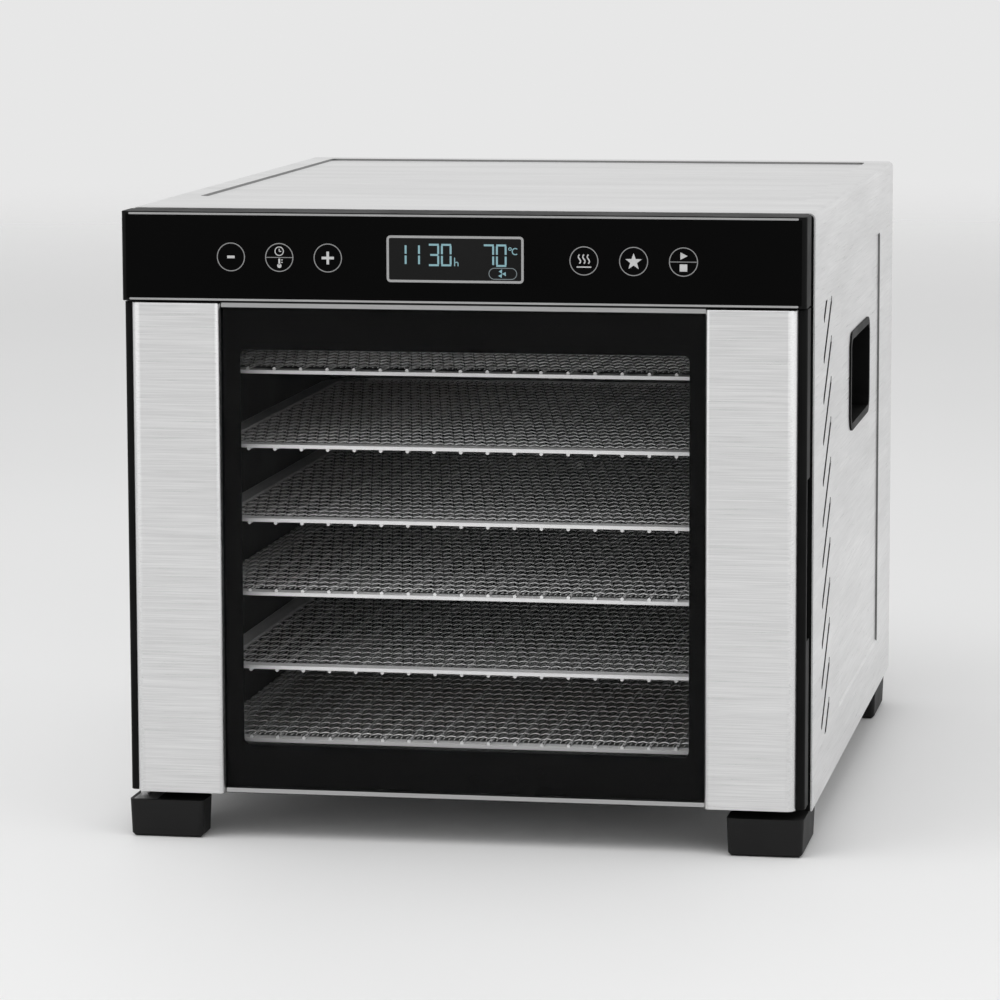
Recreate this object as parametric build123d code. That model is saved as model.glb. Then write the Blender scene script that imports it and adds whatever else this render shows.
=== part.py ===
from build123d import *
import math
import os

# Cabinet food dehydrator: a steel cased chamber with sliding mesh racks, a fan and a ring heater behind a
# perforated baffle, a hinged glass door and a touch control panel above it.
# Frame: origin on the floor under the middle of the case, +X to the right seen from the front,
# -Y towards the user, +Z up. Millimetres.

# ---- case ----
CASE_W = 345.0  # over the steel shell
CASE_D = 450.0  # from the front face to the back edge of the shell
CASE_H = 297.5  # body without the feet
FOOT_H = 19.0
SHELL_T = 0.8
BEND_R = 3.0  # outside radius of the shell's two long bends
FLANGE_W = 9.0  # return flange at the back of the shell
REAR_INSET = 4.0  # rear panel lies this far inside the shell's back edge
REAR_T = 0.8
REAR_CLEAR = 0.2
PAN_T = 0.8
PAN_H = 12.0  # flanges at the sides and the back
PAN_FRONT_H = 6.0
FRAME_T = 4.0  # front frame round the chamber's mouth
PRESS_DEPTH = 1.0  # pressed panels in the top and the sides
PRESS_ANGLE = 45.0
PRESS_R = 4.0
TOP_PRESS_SIDE = 15.0  # margins of the top's pressed panel
TOP_PRESS_FRONT = 84.0
TOP_PRESS_REAR = 13.0
SIDE_PRESS_W = 217.0
SIDE_PRESS_Y = 38.0
SIDE_PRESS_DROP = 35.0  # from the top of the case down to the pressed panel
SIDE_PRESS_RISE = 28.5  # from the bottom of the case up to the pressed panel

# ---- vents in the sides ----
VENT_DEPTH = 38.5  # column's extent along the case
VENT_FRONT = 43.0  # from the shell's front edge back to the column
VENT_LOW = 27.8  # column's margins from the bottom and the top of the body
VENT_HIGH = 47.5
VENT_PITCH = 20.7
VENT_ANGLE = 38.0
VENT_W = 4.8

# ---- carry handles ----
HANDLE_W = 98.0
HANDLE_H = 45.0
HANDLE_R = 6.0
HANDLE_Y = 37.5
HANDLE_DROP = 103.4  # from the top of the case to the middle of the handle
CUP_DEPTH = 22.0
CUP_T = 2.0
CUP_RIM = 4.0
CUP_CLEAR = 0.2
CUP_HOOK = 7.0  # undercut above the mouth where the fingers hold
CUP_LIP = 6.0  # depth of the mouth in front of the undercut

# ---- front module: door and control panel ----
MODULE_D = 25.0
MODULE_INSET = 1.5  # each side inside the shell
MODULE_EDGE_R = 2.5
PANEL_H = 44.5
PANEL_DROP = 0.2  # top of the panel below the top of the shell
PANEL_GAP = 0.9  # between the panel and the door
DOOR_CLEAR = 4.3  # from the underside of the case up to the door
DOOR_GAP = 5.0  # between the door's back and the front frame

# ---- control panel ----
BEZEL_BACK = 0.4  # housing's rim behind the front plane
GLASS_RIM = 1.5  # height of the rim above and below the panel glass
GLASS_END = 2.5
PANEL_GLASS_T = 2.5
PANEL_GLASS_BACK = 0.2
PANEL_END = 13.0  # solid ends of the housing
PANEL_WALL = 5.5
PANEL_BEVEL = 0.3
REBATE_D = 5.0  # dark recess between the housing and the case
REBATE_W = 2.0
TRIM_H = 1.0
TRIM_D = 1.6
TRIM_END = 1.5
DISPLAY_X = -2.2
DISPLAY_W = 68.4
DISPLAY_H = 23.0
DISPLAY_R = 2.0
DISPLAY_RING = 1.2
RING_DEPTH = 0.6
LCD_MARGIN = 4.0
BOARD_T = 1.6
BOARD_BACK = 12.0  # from the front plane to the control board's face
BOARD_CLEAR = 0.3
KEY_PITCH = 24.5
KEY_RIGHT = 61.8
KEY_LEFT = -115.0
KEYS_PER_SIDE = 3
PAD_R = 5.0
PAD_WALL = 1.5
CABLE_W = 40.0
CABLE_H = 10.0

# ---- door ----
POST_T = 5.0  # posts stand this far in front of the door frame
POST_W = 45.0
POST_SIDE = 4.4  # door frame seen beside each post
POST_OUT_R = 4.6
POST_IN_R = 2.4
POST_SHEET = 0.8
GLASS_T = 4.0
GLASS_CLEAR = 0.3
GLASS_EDGE = 2.2  # trim height above and below the glass
BORDER_SIDE = 8.5  # printed border of the glass, outside the window
BORDER_TOP = 21.5
BORDER_LOW = 21.5
WINDOW_R = 3.0
BORDER_LAP = 3.0  # frame's opening is larger than the window by this
TRIM_PROUD = 0.8
TRIM_BACK = 1.5
SEAL_W = 4.0
SEAL_CLEAR = 0.3
SEAL_MARGIN = 2.0
SEAL_R = 8.0
HINGE_EDGE = 5.0
PIN_R = 2.5
PIN_IN_DOOR = 12.0
PIN_OUT_TOP = 4.2
PIN_END_CLEAR = 0.3
RUN_FIT = 0.06
PRESS_CLEAR = 0.02
HINGE_PLATE_T = 2.5
BRACKET_INSET = 2.0
GRIP_DEPTH = 8.0
GRIP_H = 80.0
GRIP_R = 7.0
GRIP_WALL = 4.0  # front of the door kept in front of the grip
MAGNET_R = 4.0
MAGNET_T = 3.0
MAGNET_SIDE = 11.0
MAGNET_END = 40.0

# ---- chamber ----
SIDE_GAP = 29.0  # from the outside of the shell to the chamber
FLOOR_GAP = 9.0
TOP_GAP = 54.0
LINER_T = 0.6
REAR_ROOM = 85.0  # from the baffle to the back edge of the shell
PARTITION_ROOM = 45.0
PLATE_T = 0.8
MOUTH_R = 3.0
WALL_VENT_R = 2.5
WALL_VENT_PITCH = 11.0
WALL_VENTS = 3
INTAKE_R = 3.0
INTAKE_RINGS = 4
INTAKE_STEP = 13.0
INTAKE_PER_RING = 6
OUTLET_W = 5.0
OUTLET_H = 22.0
OUTLET_EDGE = 14.0

# ---- racks ----
RACKS = 6
FLIPPED = (1, 4, 6)  # racks that lie with their wires upward and the mesh on the wires
RACK_CLEAR = 2.0  # each side, to the chamber wall
RACK_FRONT = 12.0  # from the front frame's face back to the racks
RACK_BACK = 8.0
RACK_R = 30.0
STRIP_W = 9.0
STRIP_T = 1.8
WIRE_R = 0.9
WIRE_SINK = 0.3
WIRE_PITCH = 13.65
WIRE_BACK = 1.0
MESH_T = 1.0
LOWEST_RACK = 16.2  # above the chamber floor
TOP_SPACE = 29.4  # above the highest rack
LEDGE_W = 7.0
LEDGE_T = 1.2
LEDGE_WEB = 5.0
SLIDE_CLEAR = 0.3
TRAY_BELOW = 5.0  # tray's flange under the lowest rack
TRAY_H = 8.0
TRAY_T = 0.8
TRAY_R = 18.0
TRAY_CLEAR = 1.0

# ---- fan and heater ----
FAN_R = 75.0
HUB_R = 9.0
BLADES = 16
BLADE_IN_R = 40.0
BLADE_T = 1.2
BLADE_TILT = 32.0
BLADE_D = 15.0
DISC_T = 1.5
FAN_GAP = 8.5  # between the impeller's disc and the partition
SHAFT_R = 4.0
SHAFT_IN_MOTOR = 20.0
SHAFT_FRONT = 6.0  # shaft in front of the hub
SHAFT_HOLE_R = 6.5
NUT_R = 7.5
NUT_T = 4.0
MOTOR_R = 33.0
MOTOR_L = 30.0
MOTOR_EDGE = 3.0
BOSS_R = 10.0
BOSS_CLEAR = 0.2
BRACKET_SIZE = 96.0
BRACKET_T = 2.0
COIL_R = 92.0
COIL_TUBE_R = 3.2
COIL_GAP = 18.0  # coil's middle in front of the partition
COIL_ARC = 330.0
COIL_TAIL = 12.0
COIL_HOLE_CLEAR = 0.1
CUTOUT_R = 8.0
CUTOUT_T = 7.0
CUTOUT_EDGE = 38.5  # from the chamber's side
CUTOUT_Z = 85.0
PROBE_R = 2.5
PROBE_OUT = 5.0
PROBE_IN = 8.0
PROBE_FLANGE_R = 6.0
PROBE_FLANGE_T = 1.5
PROBE_EDGE = 25.5  # from the chamber's side
PROBE_Z = 60.0

# ---- power board ----
POWER_W = 120.0
POWER_D = 90.0
POWER_FRONT = 25.0
POWER_LEG = 5.0
POWER_LEG_R = 3.0
POWER_LEG_EDGE = 6.0
TRANSFORMER = (36.0, 30.0, 24.0)
RELAY = (28.0, 14.0, 16.0)
CAPACITOR_R = 8.0
CAPACITOR_H = 22.0

# ---- rear panel, feet and screws ----
LOUVRE_W = 62.0
LOUVRE_H = 3.0
LOUVRE_PITCH = 9.0
LOUVRES = 8
LOUVRE_COLUMNS = 2
LOUVRE_GAP = 72.0
GLAND_EDGE = 50.5  # from the shell's side
GLAND_UP = 34.0
GLAND_R = 10.5
GLAND_NECK_R = 7.0
GLAND_BORE_R = 3.6
GLAND_T = 3.0
GLAND_CLEAR = 0.1
SCREW_R = 1.6
SCREW_HEAD_R = 3.0
SCREW_HEAD_T = 1.8
SCREW_HEAD_EDGE = 0.6
RECESS_L = 2.8  # cross recess of the screw heads
RECESS_W = 0.7
RECESS_D = 0.9
SCREW_L = 8.0
SCREW_CLEAR = 0.1
FOOT_W = 38.5
FOOT_D = 56.0
FOOT_BAR = 20.0  # depth of the foot's bar across the corner
FOOT_LEG = 16.0  # width of the foot's leg along the side
FOOT_R = 3.0
FOOT_TAPER = 2.5
FOOT_CHAMFER = 1.5
CHAMFER_ANGLE = 45.0
FOOT_FRONT = 1.0  # front feet behind the front plane
FOOT_REAR = 12.0
FOOT_SCREW_BACK = 10.0  # front foot screws behind the front frame
FOOT_SCREW_R = 1.9
FOOT_HEAD_R = 3.4
FOOT_HEAD_T = 2.4
FOOT_BORE = 8.0
FOOT_BORE_CLEAR = 0.8
FOOT_SCREW_UP = 4.0
OVER = 1.0  # how far a cutting shape runs past the face it cuts

# ---- places worked out from the sizes above ----
X_SHELL = CASE_W / 2
Y_FRONT = -CASE_D / 2
Y_REAR = CASE_D / 2
Z_BASE = FOOT_H
Z_TOP = FOOT_H + CASE_H
X_IN = X_SHELL - SHELL_T
X_MODULE = X_SHELL - MODULE_INSET
Y_CASE = Y_FRONT + MODULE_D
Y_LINER = Y_CASE + FRAME_T
Y_PANEL = Y_REAR - REAR_INSET - REAR_T
Y_FLANGE = Y_PANEL - SHELL_T

Z_CONTROL_TOP = Z_TOP - PANEL_DROP
Z_CONTROL = Z_CONTROL_TOP - PANEL_H
Z_CONTROL_MID = (Z_CONTROL + Z_CONTROL_TOP) / 2
Y_BEZEL = Y_FRONT + BEZEL_BACK
Y_PANEL_GLASS = Y_FRONT + PANEL_GLASS_BACK
Y_GLASS_SEAT = Y_PANEL_GLASS + PANEL_GLASS_T
Y_BOARD = Y_FRONT + BOARD_BACK
X_PANEL_GLASS = X_MODULE - GLASS_END
X_CAVITY = X_MODULE - PANEL_END

Z_DOOR = Z_BASE + DOOR_CLEAR
Z_DOOR_TOP = Z_CONTROL - PANEL_GAP
Y_DOOR_FACE = Y_FRONT + POST_T
Y_DOOR_BACK = Y_CASE - DOOR_GAP
Y_GLASS_BACK = Y_DOOR_FACE + GLASS_T
X_POST = X_MODULE - POST_SIDE
X_POST_IN = X_POST - POST_W
X_GLASS = X_POST_IN - GLASS_CLEAR
Z_GLASS = Z_DOOR + GLASS_EDGE + GLASS_CLEAR
Z_GLASS_TOP = Z_DOOR_TOP - GLASS_EDGE
X_WINDOW = X_GLASS - BORDER_SIDE
Z_WINDOW = Z_GLASS + BORDER_LOW
Z_WINDOW_TOP = Z_GLASS_TOP - BORDER_TOP
HINGE_X = -(X_MODULE - HINGE_EDGE)
HINGE_Y = Y_DOOR_BACK - HINGE_EDGE
Z_DOOR_MID = (Z_DOOR + Z_DOOR_TOP) / 2

X_CHAMBER = X_SHELL - SIDE_GAP
Z_FLOOR = Z_BASE + FLOOR_GAP
Z_CEILING = Z_TOP - TOP_GAP
Y_BAFFLE = Y_REAR - REAR_ROOM
Y_PARTITION = Y_REAR - PARTITION_ROOM
FAN_Z = (Z_FLOOR + Z_CEILING) / 2

X_RACK = X_CHAMBER - RACK_CLEAR
Y_RACK = Y_CASE + RACK_FRONT
Y_RACK_END = Y_BAFFLE - RACK_BACK
RACK_MID = (Y_RACK + Y_RACK_END) / 2
RACK_D = Y_RACK_END - Y_RACK
Z_LOW_RACK = Z_FLOOR + LOWEST_RACK
RACK_PITCH = (Z_CEILING - TOP_SPACE - Z_LOW_RACK) / (RACKS - 1)
Z_TRAY_TOP = Z_LOW_RACK - TRAY_BELOW
WIRE_Z = -STRIP_T / 2 - WIRE_R + WIRE_SINK  # from the strip's middle to the wires' middle

Y_DISC_BACK = Y_PARTITION - FAN_GAP
Y_HUB = Y_DISC_BACK - DISC_T - BLADE_D
Y_BRACKET = Y_PARTITION + PLATE_T
Y_MOTOR = Y_BRACKET + BRACKET_T
Y_MOTOR_END = Y_MOTOR + MOTOR_L

FOOT_Y = Y_FRONT + FOOT_FRONT
FOOT_REAR_Y = Y_REAR - FOOT_REAR
FOOT_SCREW_X = X_MODULE - FOOT_LEG / 2
FRONT_SCREW_Y = Y_LINER + FOOT_SCREW_BACK
REAR_SCREW_Y = FOOT_REAR_Y + FOOT_Y - FRONT_SCREW_Y
HANDLE_Z = Z_TOP - HANDLE_DROP
GLAND_X = GLAND_EDGE - X_SHELL
GLAND_Z = Z_BASE + GLAND_UP
CUTOUT_X = X_CHAMBER - CUTOUT_EDGE
PROBE_X = X_CHAMBER - PROBE_EDGE


# ---- shape helpers ----
def block(x, y, z):
    """Box between two corners, each range given as (low, high)."""
    size = [high - low for low, high in (x, y, z)]
    middle = [(high + low) / 2 for low, high in (x, y, z)]
    return Pos(*middle) * Box(*size)


def both_sides(half_width, y, z):
    """Box that is centred on X = 0."""
    return block((-half_width, half_width), y, z)


def rounded(width, height, radius):
    return RectangleRounded(width, height, radius) if radius > 0 else Rectangle(width, height)


def plate_xz(sketch, x, z, y):
    """Sketch drawn in the front view, extruded through the range y."""
    front_view = Plane(origin=(x, y[1], z), x_dir=(1, 0, 0), z_dir=(0, -1, 0))
    return extrude(front_view * sketch, amount=y[1] - y[0])


def plate_yz(sketch, y, z, x):
    """Sketch drawn in the side view, extruded through the range x."""
    side_view = Plane(origin=(x[0], y, z), x_dir=(0, 1, 0), z_dir=(1, 0, 0))
    return extrude(side_view * sketch, amount=x[1] - x[0])


def plate_xy(sketch, x, y, z):
    """Sketch drawn in the top view, extruded through the range z."""
    return extrude(Pos(x, y, z[0]) * sketch, amount=z[1] - z[0])


def rod_y(radius, x, z, y):
    return plate_xz(Circle(radius), x, z, y)


def rod_z(radius, x, y, z):
    return plate_xy(Circle(radius), x, y, z)


def window_xz(x, z, radius, y):
    """Rounded prism over the ranges x and z of the front view."""
    middle_x = (x[0] + x[1]) / 2
    middle_z = (z[0] + z[1]) / 2
    return plate_xz(rounded(x[1] - x[0], z[1] - z[0], radius), middle_x, middle_z, y)


def group(shapes):
    """Several separate solids kept in one node."""
    return Compound(children=list(shapes))


def mirrored(shape):
    """The same piece for the other side of the case."""
    return mirror(shape, about=Plane.YZ)


# ---- case ----
def pressed_panel(width, height, surface, growth):
    """Shallow panel with sloping walls that is pressed into a sheet at the plane surface."""
    outline = RectangleRounded(width + 2 * growth, height + 2 * growth, PRESS_R + growth)
    return extrude(surface * outline, amount=PRESS_DEPTH, taper=PRESS_ANGLE)


def pressed_panels(inset, growth):
    """The top's panel and the two side panels, on the surface inset from the outside of the shell."""
    length = (Y_REAR - TOP_PRESS_REAR) - (Y_CASE + TOP_PRESS_FRONT)
    middle_y = (Y_REAR - TOP_PRESS_REAR + Y_CASE + TOP_PRESS_FRONT) / 2
    top = Plane(origin=(0, middle_y, Z_TOP - inset), x_dir=(1, 0, 0), z_dir=(0, 0, -1))
    side_h = CASE_H - SIDE_PRESS_DROP - SIDE_PRESS_RISE
    side_z = Z_TOP - SIDE_PRESS_DROP - side_h / 2
    right = Plane(origin=(X_SHELL - inset, SIDE_PRESS_Y, side_z), x_dir=(0, 1, 0), z_dir=(-1, 0, 0))
    side = pressed_panel(SIDE_PRESS_W, side_h, right, growth)
    return [
        pressed_panel(CASE_W - 2 * TOP_PRESS_SIDE, length, top, growth),
        side,
        mirrored(side),
    ]


def bent_block(half_width, y, z, radius):
    """Block whose two upper long edges are rounded like the bends of the shell."""
    body = both_sides(half_width, y, z)
    return fillet(body.edges().filter_by(Axis.Y).group_by(Axis.Z)[-1], radius)


def vent_slots(x):
    """Column of slanted slots, cut off level at its top and bottom."""
    low = Z_BASE + VENT_LOW
    high = Z_TOP - VENT_HIGH
    front = Y_CASE + VENT_FRONT
    length = VENT_DEPTH / math.cos(math.radians(VENT_ANGLE))
    rise = VENT_DEPTH / 2 * math.tan(math.radians(VENT_ANGLE))
    slot = Rot(0, 0, VENT_ANGLE) * SlotOverall(length, VENT_W)
    count = int((high + rise - low) / VENT_PITCH) + 1
    slots = [plate_yz(slot, front + VENT_DEPTH / 2, low + VENT_PITCH * i, x) for i in range(count)]
    band = block(x, (front - OVER, front + VENT_DEPTH + OVER), (low, high))
    return [band & one for one in slots]


def handle_mouth(growth, x):
    """Prism through the carry handle's mouth, widened by growth all round."""
    mouth = RectangleRounded(HANDLE_W + 2 * growth, HANDLE_H + 2 * growth, HANDLE_R + growth)
    return plate_yz(mouth, HANDLE_Y, HANDLE_Z, x)


def outer_shell():
    slope_growth = SHELL_T * math.tan(math.radians(PRESS_ANGLE / 2))
    outside = bent_block(X_SHELL, (Y_CASE, Y_REAR), (Z_BASE, Z_TOP), BEND_R)
    outside -= pressed_panels(0, 0)
    inner_r = BEND_R - SHELL_T
    inside = bent_block(X_IN, (Y_CASE - OVER, Y_REAR + OVER), (Z_BASE - OVER, Z_TOP - SHELL_T), inner_r)
    inside -= pressed_panels(SHELL_T, slope_growth)
    shell = outside - inside
    flange_low = Z_BASE + PAN_H + REAR_CLEAR
    flange = bent_block(X_IN, (Y_FLANGE, Y_PANEL), (flange_low, Z_TOP - SHELL_T), inner_r)
    flange -= both_sides(X_IN - FLANGE_W, (Y_FLANGE, Y_PANEL), (flange_low, Z_TOP - SHELL_T - FLANGE_W))
    shell += flange
    across = (-X_SHELL - OVER, X_SHELL + OVER)
    shell -= vent_slots(across)
    shell -= handle_mouth(CUP_T + CUP_CLEAR, across)
    through = (Y_FLANGE - OVER, Y_PANEL + OVER)
    shell -= [rod_y(SCREW_R + SCREW_CLEAR, x, z, through) for x, z in shell_screws()]
    return shell


def shell_screws():
    """Places of the rear screws that go into the shell's flange."""
    x_side = X_IN - FLANGE_W / 2
    z_high = Z_TOP - SHELL_T - FLANGE_W / 2
    top = [(x, z_high) for x in (-X_CHAMBER, 0, X_CHAMBER)]
    sides = [(x, z) for x in (-x_side, x_side) for z in (GLAND_Z + GLAND_R, HANDLE_Z)]
    return top + sides


def pan_screws():
    """Places of the rear screws that go into the base pan's flange."""
    return [(x, Z_BASE + PAN_T + (PAN_H - PAN_T) / 2) for x in (-X_CHAMBER, 0, X_CHAMBER)]


def foot_screw_places():
    return [(side * FOOT_SCREW_X, y) for side in (-1, 1) for y in (FRONT_SCREW_Y, REAR_SCREW_Y)]


def base_pan():
    """Shallow tray that closes the case from below."""
    half = X_IN - PAN_T
    pan = both_sides(X_IN, (Y_LINER, Y_PANEL), (Z_BASE, Z_BASE + PAN_H))
    pan -= both_sides(half, (Y_LINER + PAN_T, Y_PANEL - PAN_T), (Z_BASE + PAN_T, Z_BASE + PAN_H))
    pan -= both_sides(half, (Y_LINER - OVER, Y_LINER + PAN_T), (Z_BASE + PAN_FRONT_H, Z_BASE + PAN_H))
    hole_r = FOOT_SCREW_R + SCREW_CLEAR
    pan -= [rod_z(hole_r, x, y, (Z_BASE - OVER, Z_BASE + PAN_T + OVER)) for x, y in foot_screw_places()]
    flange = (Y_PANEL - PAN_T - OVER, Y_PANEL + OVER)
    pan -= [rod_y(SCREW_R + SCREW_CLEAR, x, z, flange) for x, z in pan_screws()]
    slot = SlotOverall(LOUVRE_W, LOUVRE_H)
    below = (Z_BASE - OVER, Z_BASE + PAN_T + OVER)
    pan -= [plate_xy(slot, 0, Y_PARTITION - LOUVRE_PITCH * i, below) for i in range(LOUVRES)]
    return pan


def front_frame():
    """Plate round the mouth of the chamber, behind the door and the control panel."""
    frame = bent_block(X_IN, (Y_CASE, Y_LINER), (Z_BASE, Z_TOP - SHELL_T), BEND_R - SHELL_T)
    through = (Y_CASE - OVER, Y_LINER + OVER)
    frame -= window_xz((-X_CHAMBER, X_CHAMBER), (Z_FLOOR, Z_CEILING), MOUTH_R, through)
    frame -= plate_xz(SlotOverall(CABLE_W, CABLE_H), 0, Z_CONTROL_MID, through)
    return frame


def rear_panel():
    z = (Z_BASE + REAR_CLEAR, Z_TOP - SHELL_T - REAR_CLEAR)
    panel = both_sides(X_IN - REAR_CLEAR, (Y_PANEL, Y_PANEL + REAR_T), z)
    panel = fillet(panel.edges().filter_by(Axis.Y), BEND_R)
    through = (Y_PANEL - OVER, Y_PANEL + REAR_T + OVER)
    slot = SlotOverall(LOUVRE_W, LOUVRE_H)
    rows = [FAN_Z + LOUVRE_PITCH * (i - (LOUVRES - 1) / 2) for i in range(LOUVRES)]
    columns = [LOUVRE_GAP * (i - (LOUVRE_COLUMNS - 1) / 2) for i in range(LOUVRE_COLUMNS)]
    panel -= [plate_xz(slot, x, z, through) for x in columns for z in rows]
    panel -= [rod_y(SCREW_R + SCREW_CLEAR, x, z, through) for x, z in shell_screws() + pan_screws()]
    panel -= rod_y(GLAND_NECK_R + GLAND_CLEAR, GLAND_X, GLAND_Z, through)
    return panel


def rear_screws():
    """Pan head screws with a cross recess that hold the rear panel."""
    face = Y_PANEL + REAR_T
    end = face + SCREW_HEAD_T
    head = rod_y(SCREW_HEAD_R, 0, 0, (face, end))
    head = fillet(head.edges().sort_by(Axis.Y)[-1], SCREW_HEAD_EDGE)
    recess = (end - RECESS_D, end + OVER)
    head -= plate_xz(Rectangle(RECESS_L, RECESS_W), 0, 0, recess)
    head -= plate_xz(Rectangle(RECESS_W, RECESS_L), 0, 0, recess)
    screw = head + rod_y(SCREW_R, 0, 0, (face - SCREW_L, face))
    return group(Pos(x, 0, z) * screw for x, z in shell_screws() + pan_screws())


def cord_gland():
    """Bushing in the rear panel through which the mains lead leaves."""
    back = Y_PANEL + REAR_T
    gland = rod_y(GLAND_R, GLAND_X, GLAND_Z, (back, back + GLAND_T))
    gland += rod_y(GLAND_NECK_R, GLAND_X, GLAND_Z, (Y_PANEL - GLAND_T, back))
    gland += rod_y(GLAND_R, GLAND_X, GLAND_Z, (Y_PANEL - GLAND_T, Y_PANEL))
    gland -= rod_y(GLAND_BORE_R, GLAND_X, GLAND_Z, (Y_PANEL - GLAND_T - OVER, back + GLAND_T + OVER))
    return gland


def handle_cup():
    """Black cup of the right carry handle, with an undercut above its mouth."""
    face = X_SHELL - PRESS_DEPTH
    bottom = face - CUP_DEPTH
    cup = handle_mouth(CUP_T, (bottom - CUP_T, face))
    hook_z = (HANDLE_Z, HANDLE_Z + HANDLE_H / 2 + CUP_HOOK)
    hook_y = (HANDLE_Y - HANDLE_W / 2, HANDLE_Y + HANDLE_W / 2)
    hook_x = (bottom - CUP_T, face - CUP_LIP + CUP_T)
    cup += block(hook_x, (hook_y[0] - CUP_T, hook_y[1] + CUP_T), (hook_z[0], hook_z[1] + CUP_T))
    cup += handle_mouth(CUP_RIM, (face, X_SHELL))
    cup -= handle_mouth(0, (bottom, X_SHELL + OVER))
    cup -= block((bottom, face - CUP_LIP), hook_y, hook_z)
    return cup


# ---- feet ----
def foot_front_right():
    """Tapered corner foot: a bar across the front, a leg along the side and a bore for its screw."""
    downward = Plane(origin=(0, 0, FOOT_H), x_dir=(1, 0, 0), z_dir=(0, 0, -1))
    bar_y = FOOT_Y + FOOT_BAR / 2
    leg_y = FOOT_Y + FOOT_D / 2
    outline = Pos(X_MODULE - FOOT_W / 2, -bar_y) * RectangleRounded(FOOT_W, FOOT_BAR, FOOT_R)
    outline += Pos(FOOT_SCREW_X, -leg_y) * RectangleRounded(FOOT_LEG, FOOT_D, FOOT_R)
    wall_h = FOOT_H - FOOT_CHAMFER
    body = extrude(downward * outline, amount=wall_h, taper=FOOT_TAPER)
    sole = offset(outline, amount=-wall_h * math.tan(math.radians(FOOT_TAPER)))
    body += extrude(downward.offset(wall_h) * sole, amount=FOOT_CHAMFER, taper=CHAMFER_ANGLE)
    body -= rod_z(FOOT_HEAD_R + FOOT_BORE_CLEAR, FOOT_SCREW_X, FRONT_SCREW_Y, (-OVER, FOOT_BORE))
    body -= rod_z(FOOT_SCREW_R + SCREW_CLEAR, FOOT_SCREW_X, FRONT_SCREW_Y, (-OVER, FOOT_H + OVER))
    return body


def foot_rear_right():
    """The same foot turned to the rear corner."""
    return Pos(0, FOOT_Y + FOOT_REAR_Y, 0) * mirror(foot_front_right(), about=Plane.XZ)


def foot_front_left():
    """Front foot on the hinge side, with a seat for the hinge bracket."""
    return mirrored(foot_front_right()) - bracket_plate()


def foot_screws():
    """Pan head screws with a cross recess, driven from below."""
    low = FOOT_BORE - FOOT_HEAD_T
    head = rod_z(FOOT_HEAD_R, 0, 0, (low, FOOT_BORE))
    head = fillet(head.edges().sort_by(Axis.Z)[0], SCREW_HEAD_EDGE)
    recess = (low - OVER, low + RECESS_D)
    head -= plate_xy(Rectangle(RECESS_L, RECESS_W), 0, 0, recess)
    head -= plate_xy(Rectangle(RECESS_W, RECESS_L), 0, 0, recess)
    screw = head + rod_z(FOOT_SCREW_R, 0, 0, (FOOT_BORE, Z_BASE + PAN_T + FOOT_SCREW_UP))
    return group(Pos(x, y, 0) * screw for x, y in foot_screw_places())


# ---- chamber ----
def rack_z(number):
    """Height of a rack's strip, rack 1 being the highest."""
    return Z_LOW_RACK + RACK_PITCH * (RACKS - number)


def chamber_right_wall():
    wall = block(
        (X_CHAMBER, X_CHAMBER + LINER_T),
        (Y_LINER, Y_PARTITION),
        (Z_FLOOR - LINER_T, Z_CEILING + LINER_T),
    )
    through = (X_CHAMBER - OVER, X_CHAMBER + LINER_T + OVER)
    first = Y_CASE + VENT_FRONT + WALL_VENT_R
    for number in range(1, RACKS + 1):
        z = rack_z(number) + RACK_PITCH / 2
        for i in range(WALL_VENTS):
            wall -= plate_yz(Circle(WALL_VENT_R), first + WALL_VENT_PITCH * i, z, through)
    return wall


def chamber_top():
    return both_sides(X_CHAMBER, (Y_LINER, Y_PARTITION), (Z_CEILING, Z_CEILING + LINER_T))


def chamber_floor():
    return both_sides(X_CHAMBER, (Y_LINER, Y_PARTITION), (Z_FLOOR - LINER_T, Z_FLOOR))


def air_baffle():
    """Perforated plate at the back of the chamber: intake in the middle, outlets at the sides."""
    plate = both_sides(X_CHAMBER, (Y_BAFFLE, Y_BAFFLE + PLATE_T), (Z_FLOOR, Z_CEILING))
    through = (Y_BAFFLE - OVER, Y_BAFFLE + PLATE_T + OVER)
    holes = [rod_y(INTAKE_R, 0, FAN_Z, through)]
    for ring in range(1, INTAKE_RINGS + 1):
        count = INTAKE_PER_RING * ring
        for i in range(count):
            angle = 2 * math.pi * i / count
            x = ring * INTAKE_STEP * math.cos(angle)
            z = FAN_Z + ring * INTAKE_STEP * math.sin(angle)
            holes.append(rod_y(INTAKE_R, x, z, through))
    outlet = Rot(0, 0, 90) * SlotOverall(OUTLET_H, OUTLET_W)
    for number in range(1, RACKS + 1):
        z = rack_z(number) + RACK_PITCH / 2
        holes += [plate_xz(outlet, side * (X_CHAMBER - OUTLET_EDGE), z, through) for side in (-1, 1)]
    holes.append(rod_y(PROBE_R + PRESS_CLEAR, PROBE_X, FAN_Z + PROBE_Z, through))
    return plate - holes


def air_partition():
    """Plate behind the fan that carries the motor and the heater."""
    half = X_CHAMBER + LINER_T
    plate = both_sides(half, (Y_PARTITION, Y_BRACKET), (Z_FLOOR - LINER_T, Z_CEILING + LINER_T))
    through = (Y_PARTITION - OVER, Y_BRACKET + OVER)
    plate -= rod_y(SHAFT_HOLE_R, 0, FAN_Z, through)
    plate -= [rod_y(COIL_TUBE_R + COIL_HOLE_CLEAR, x, z, through) for x, z in coil_ends()]
    return plate


def runner(z_top):
    """Right hand ledge for one rack or for the tray."""
    length = (Y_LINER, Y_BAFFLE)
    ledge = block((X_CHAMBER - LEDGE_W, X_CHAMBER), length, (z_top - LEDGE_T, z_top))
    return ledge + block((X_CHAMBER - LEDGE_T, X_CHAMBER), length, (z_top - LEDGE_WEB, z_top))


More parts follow.
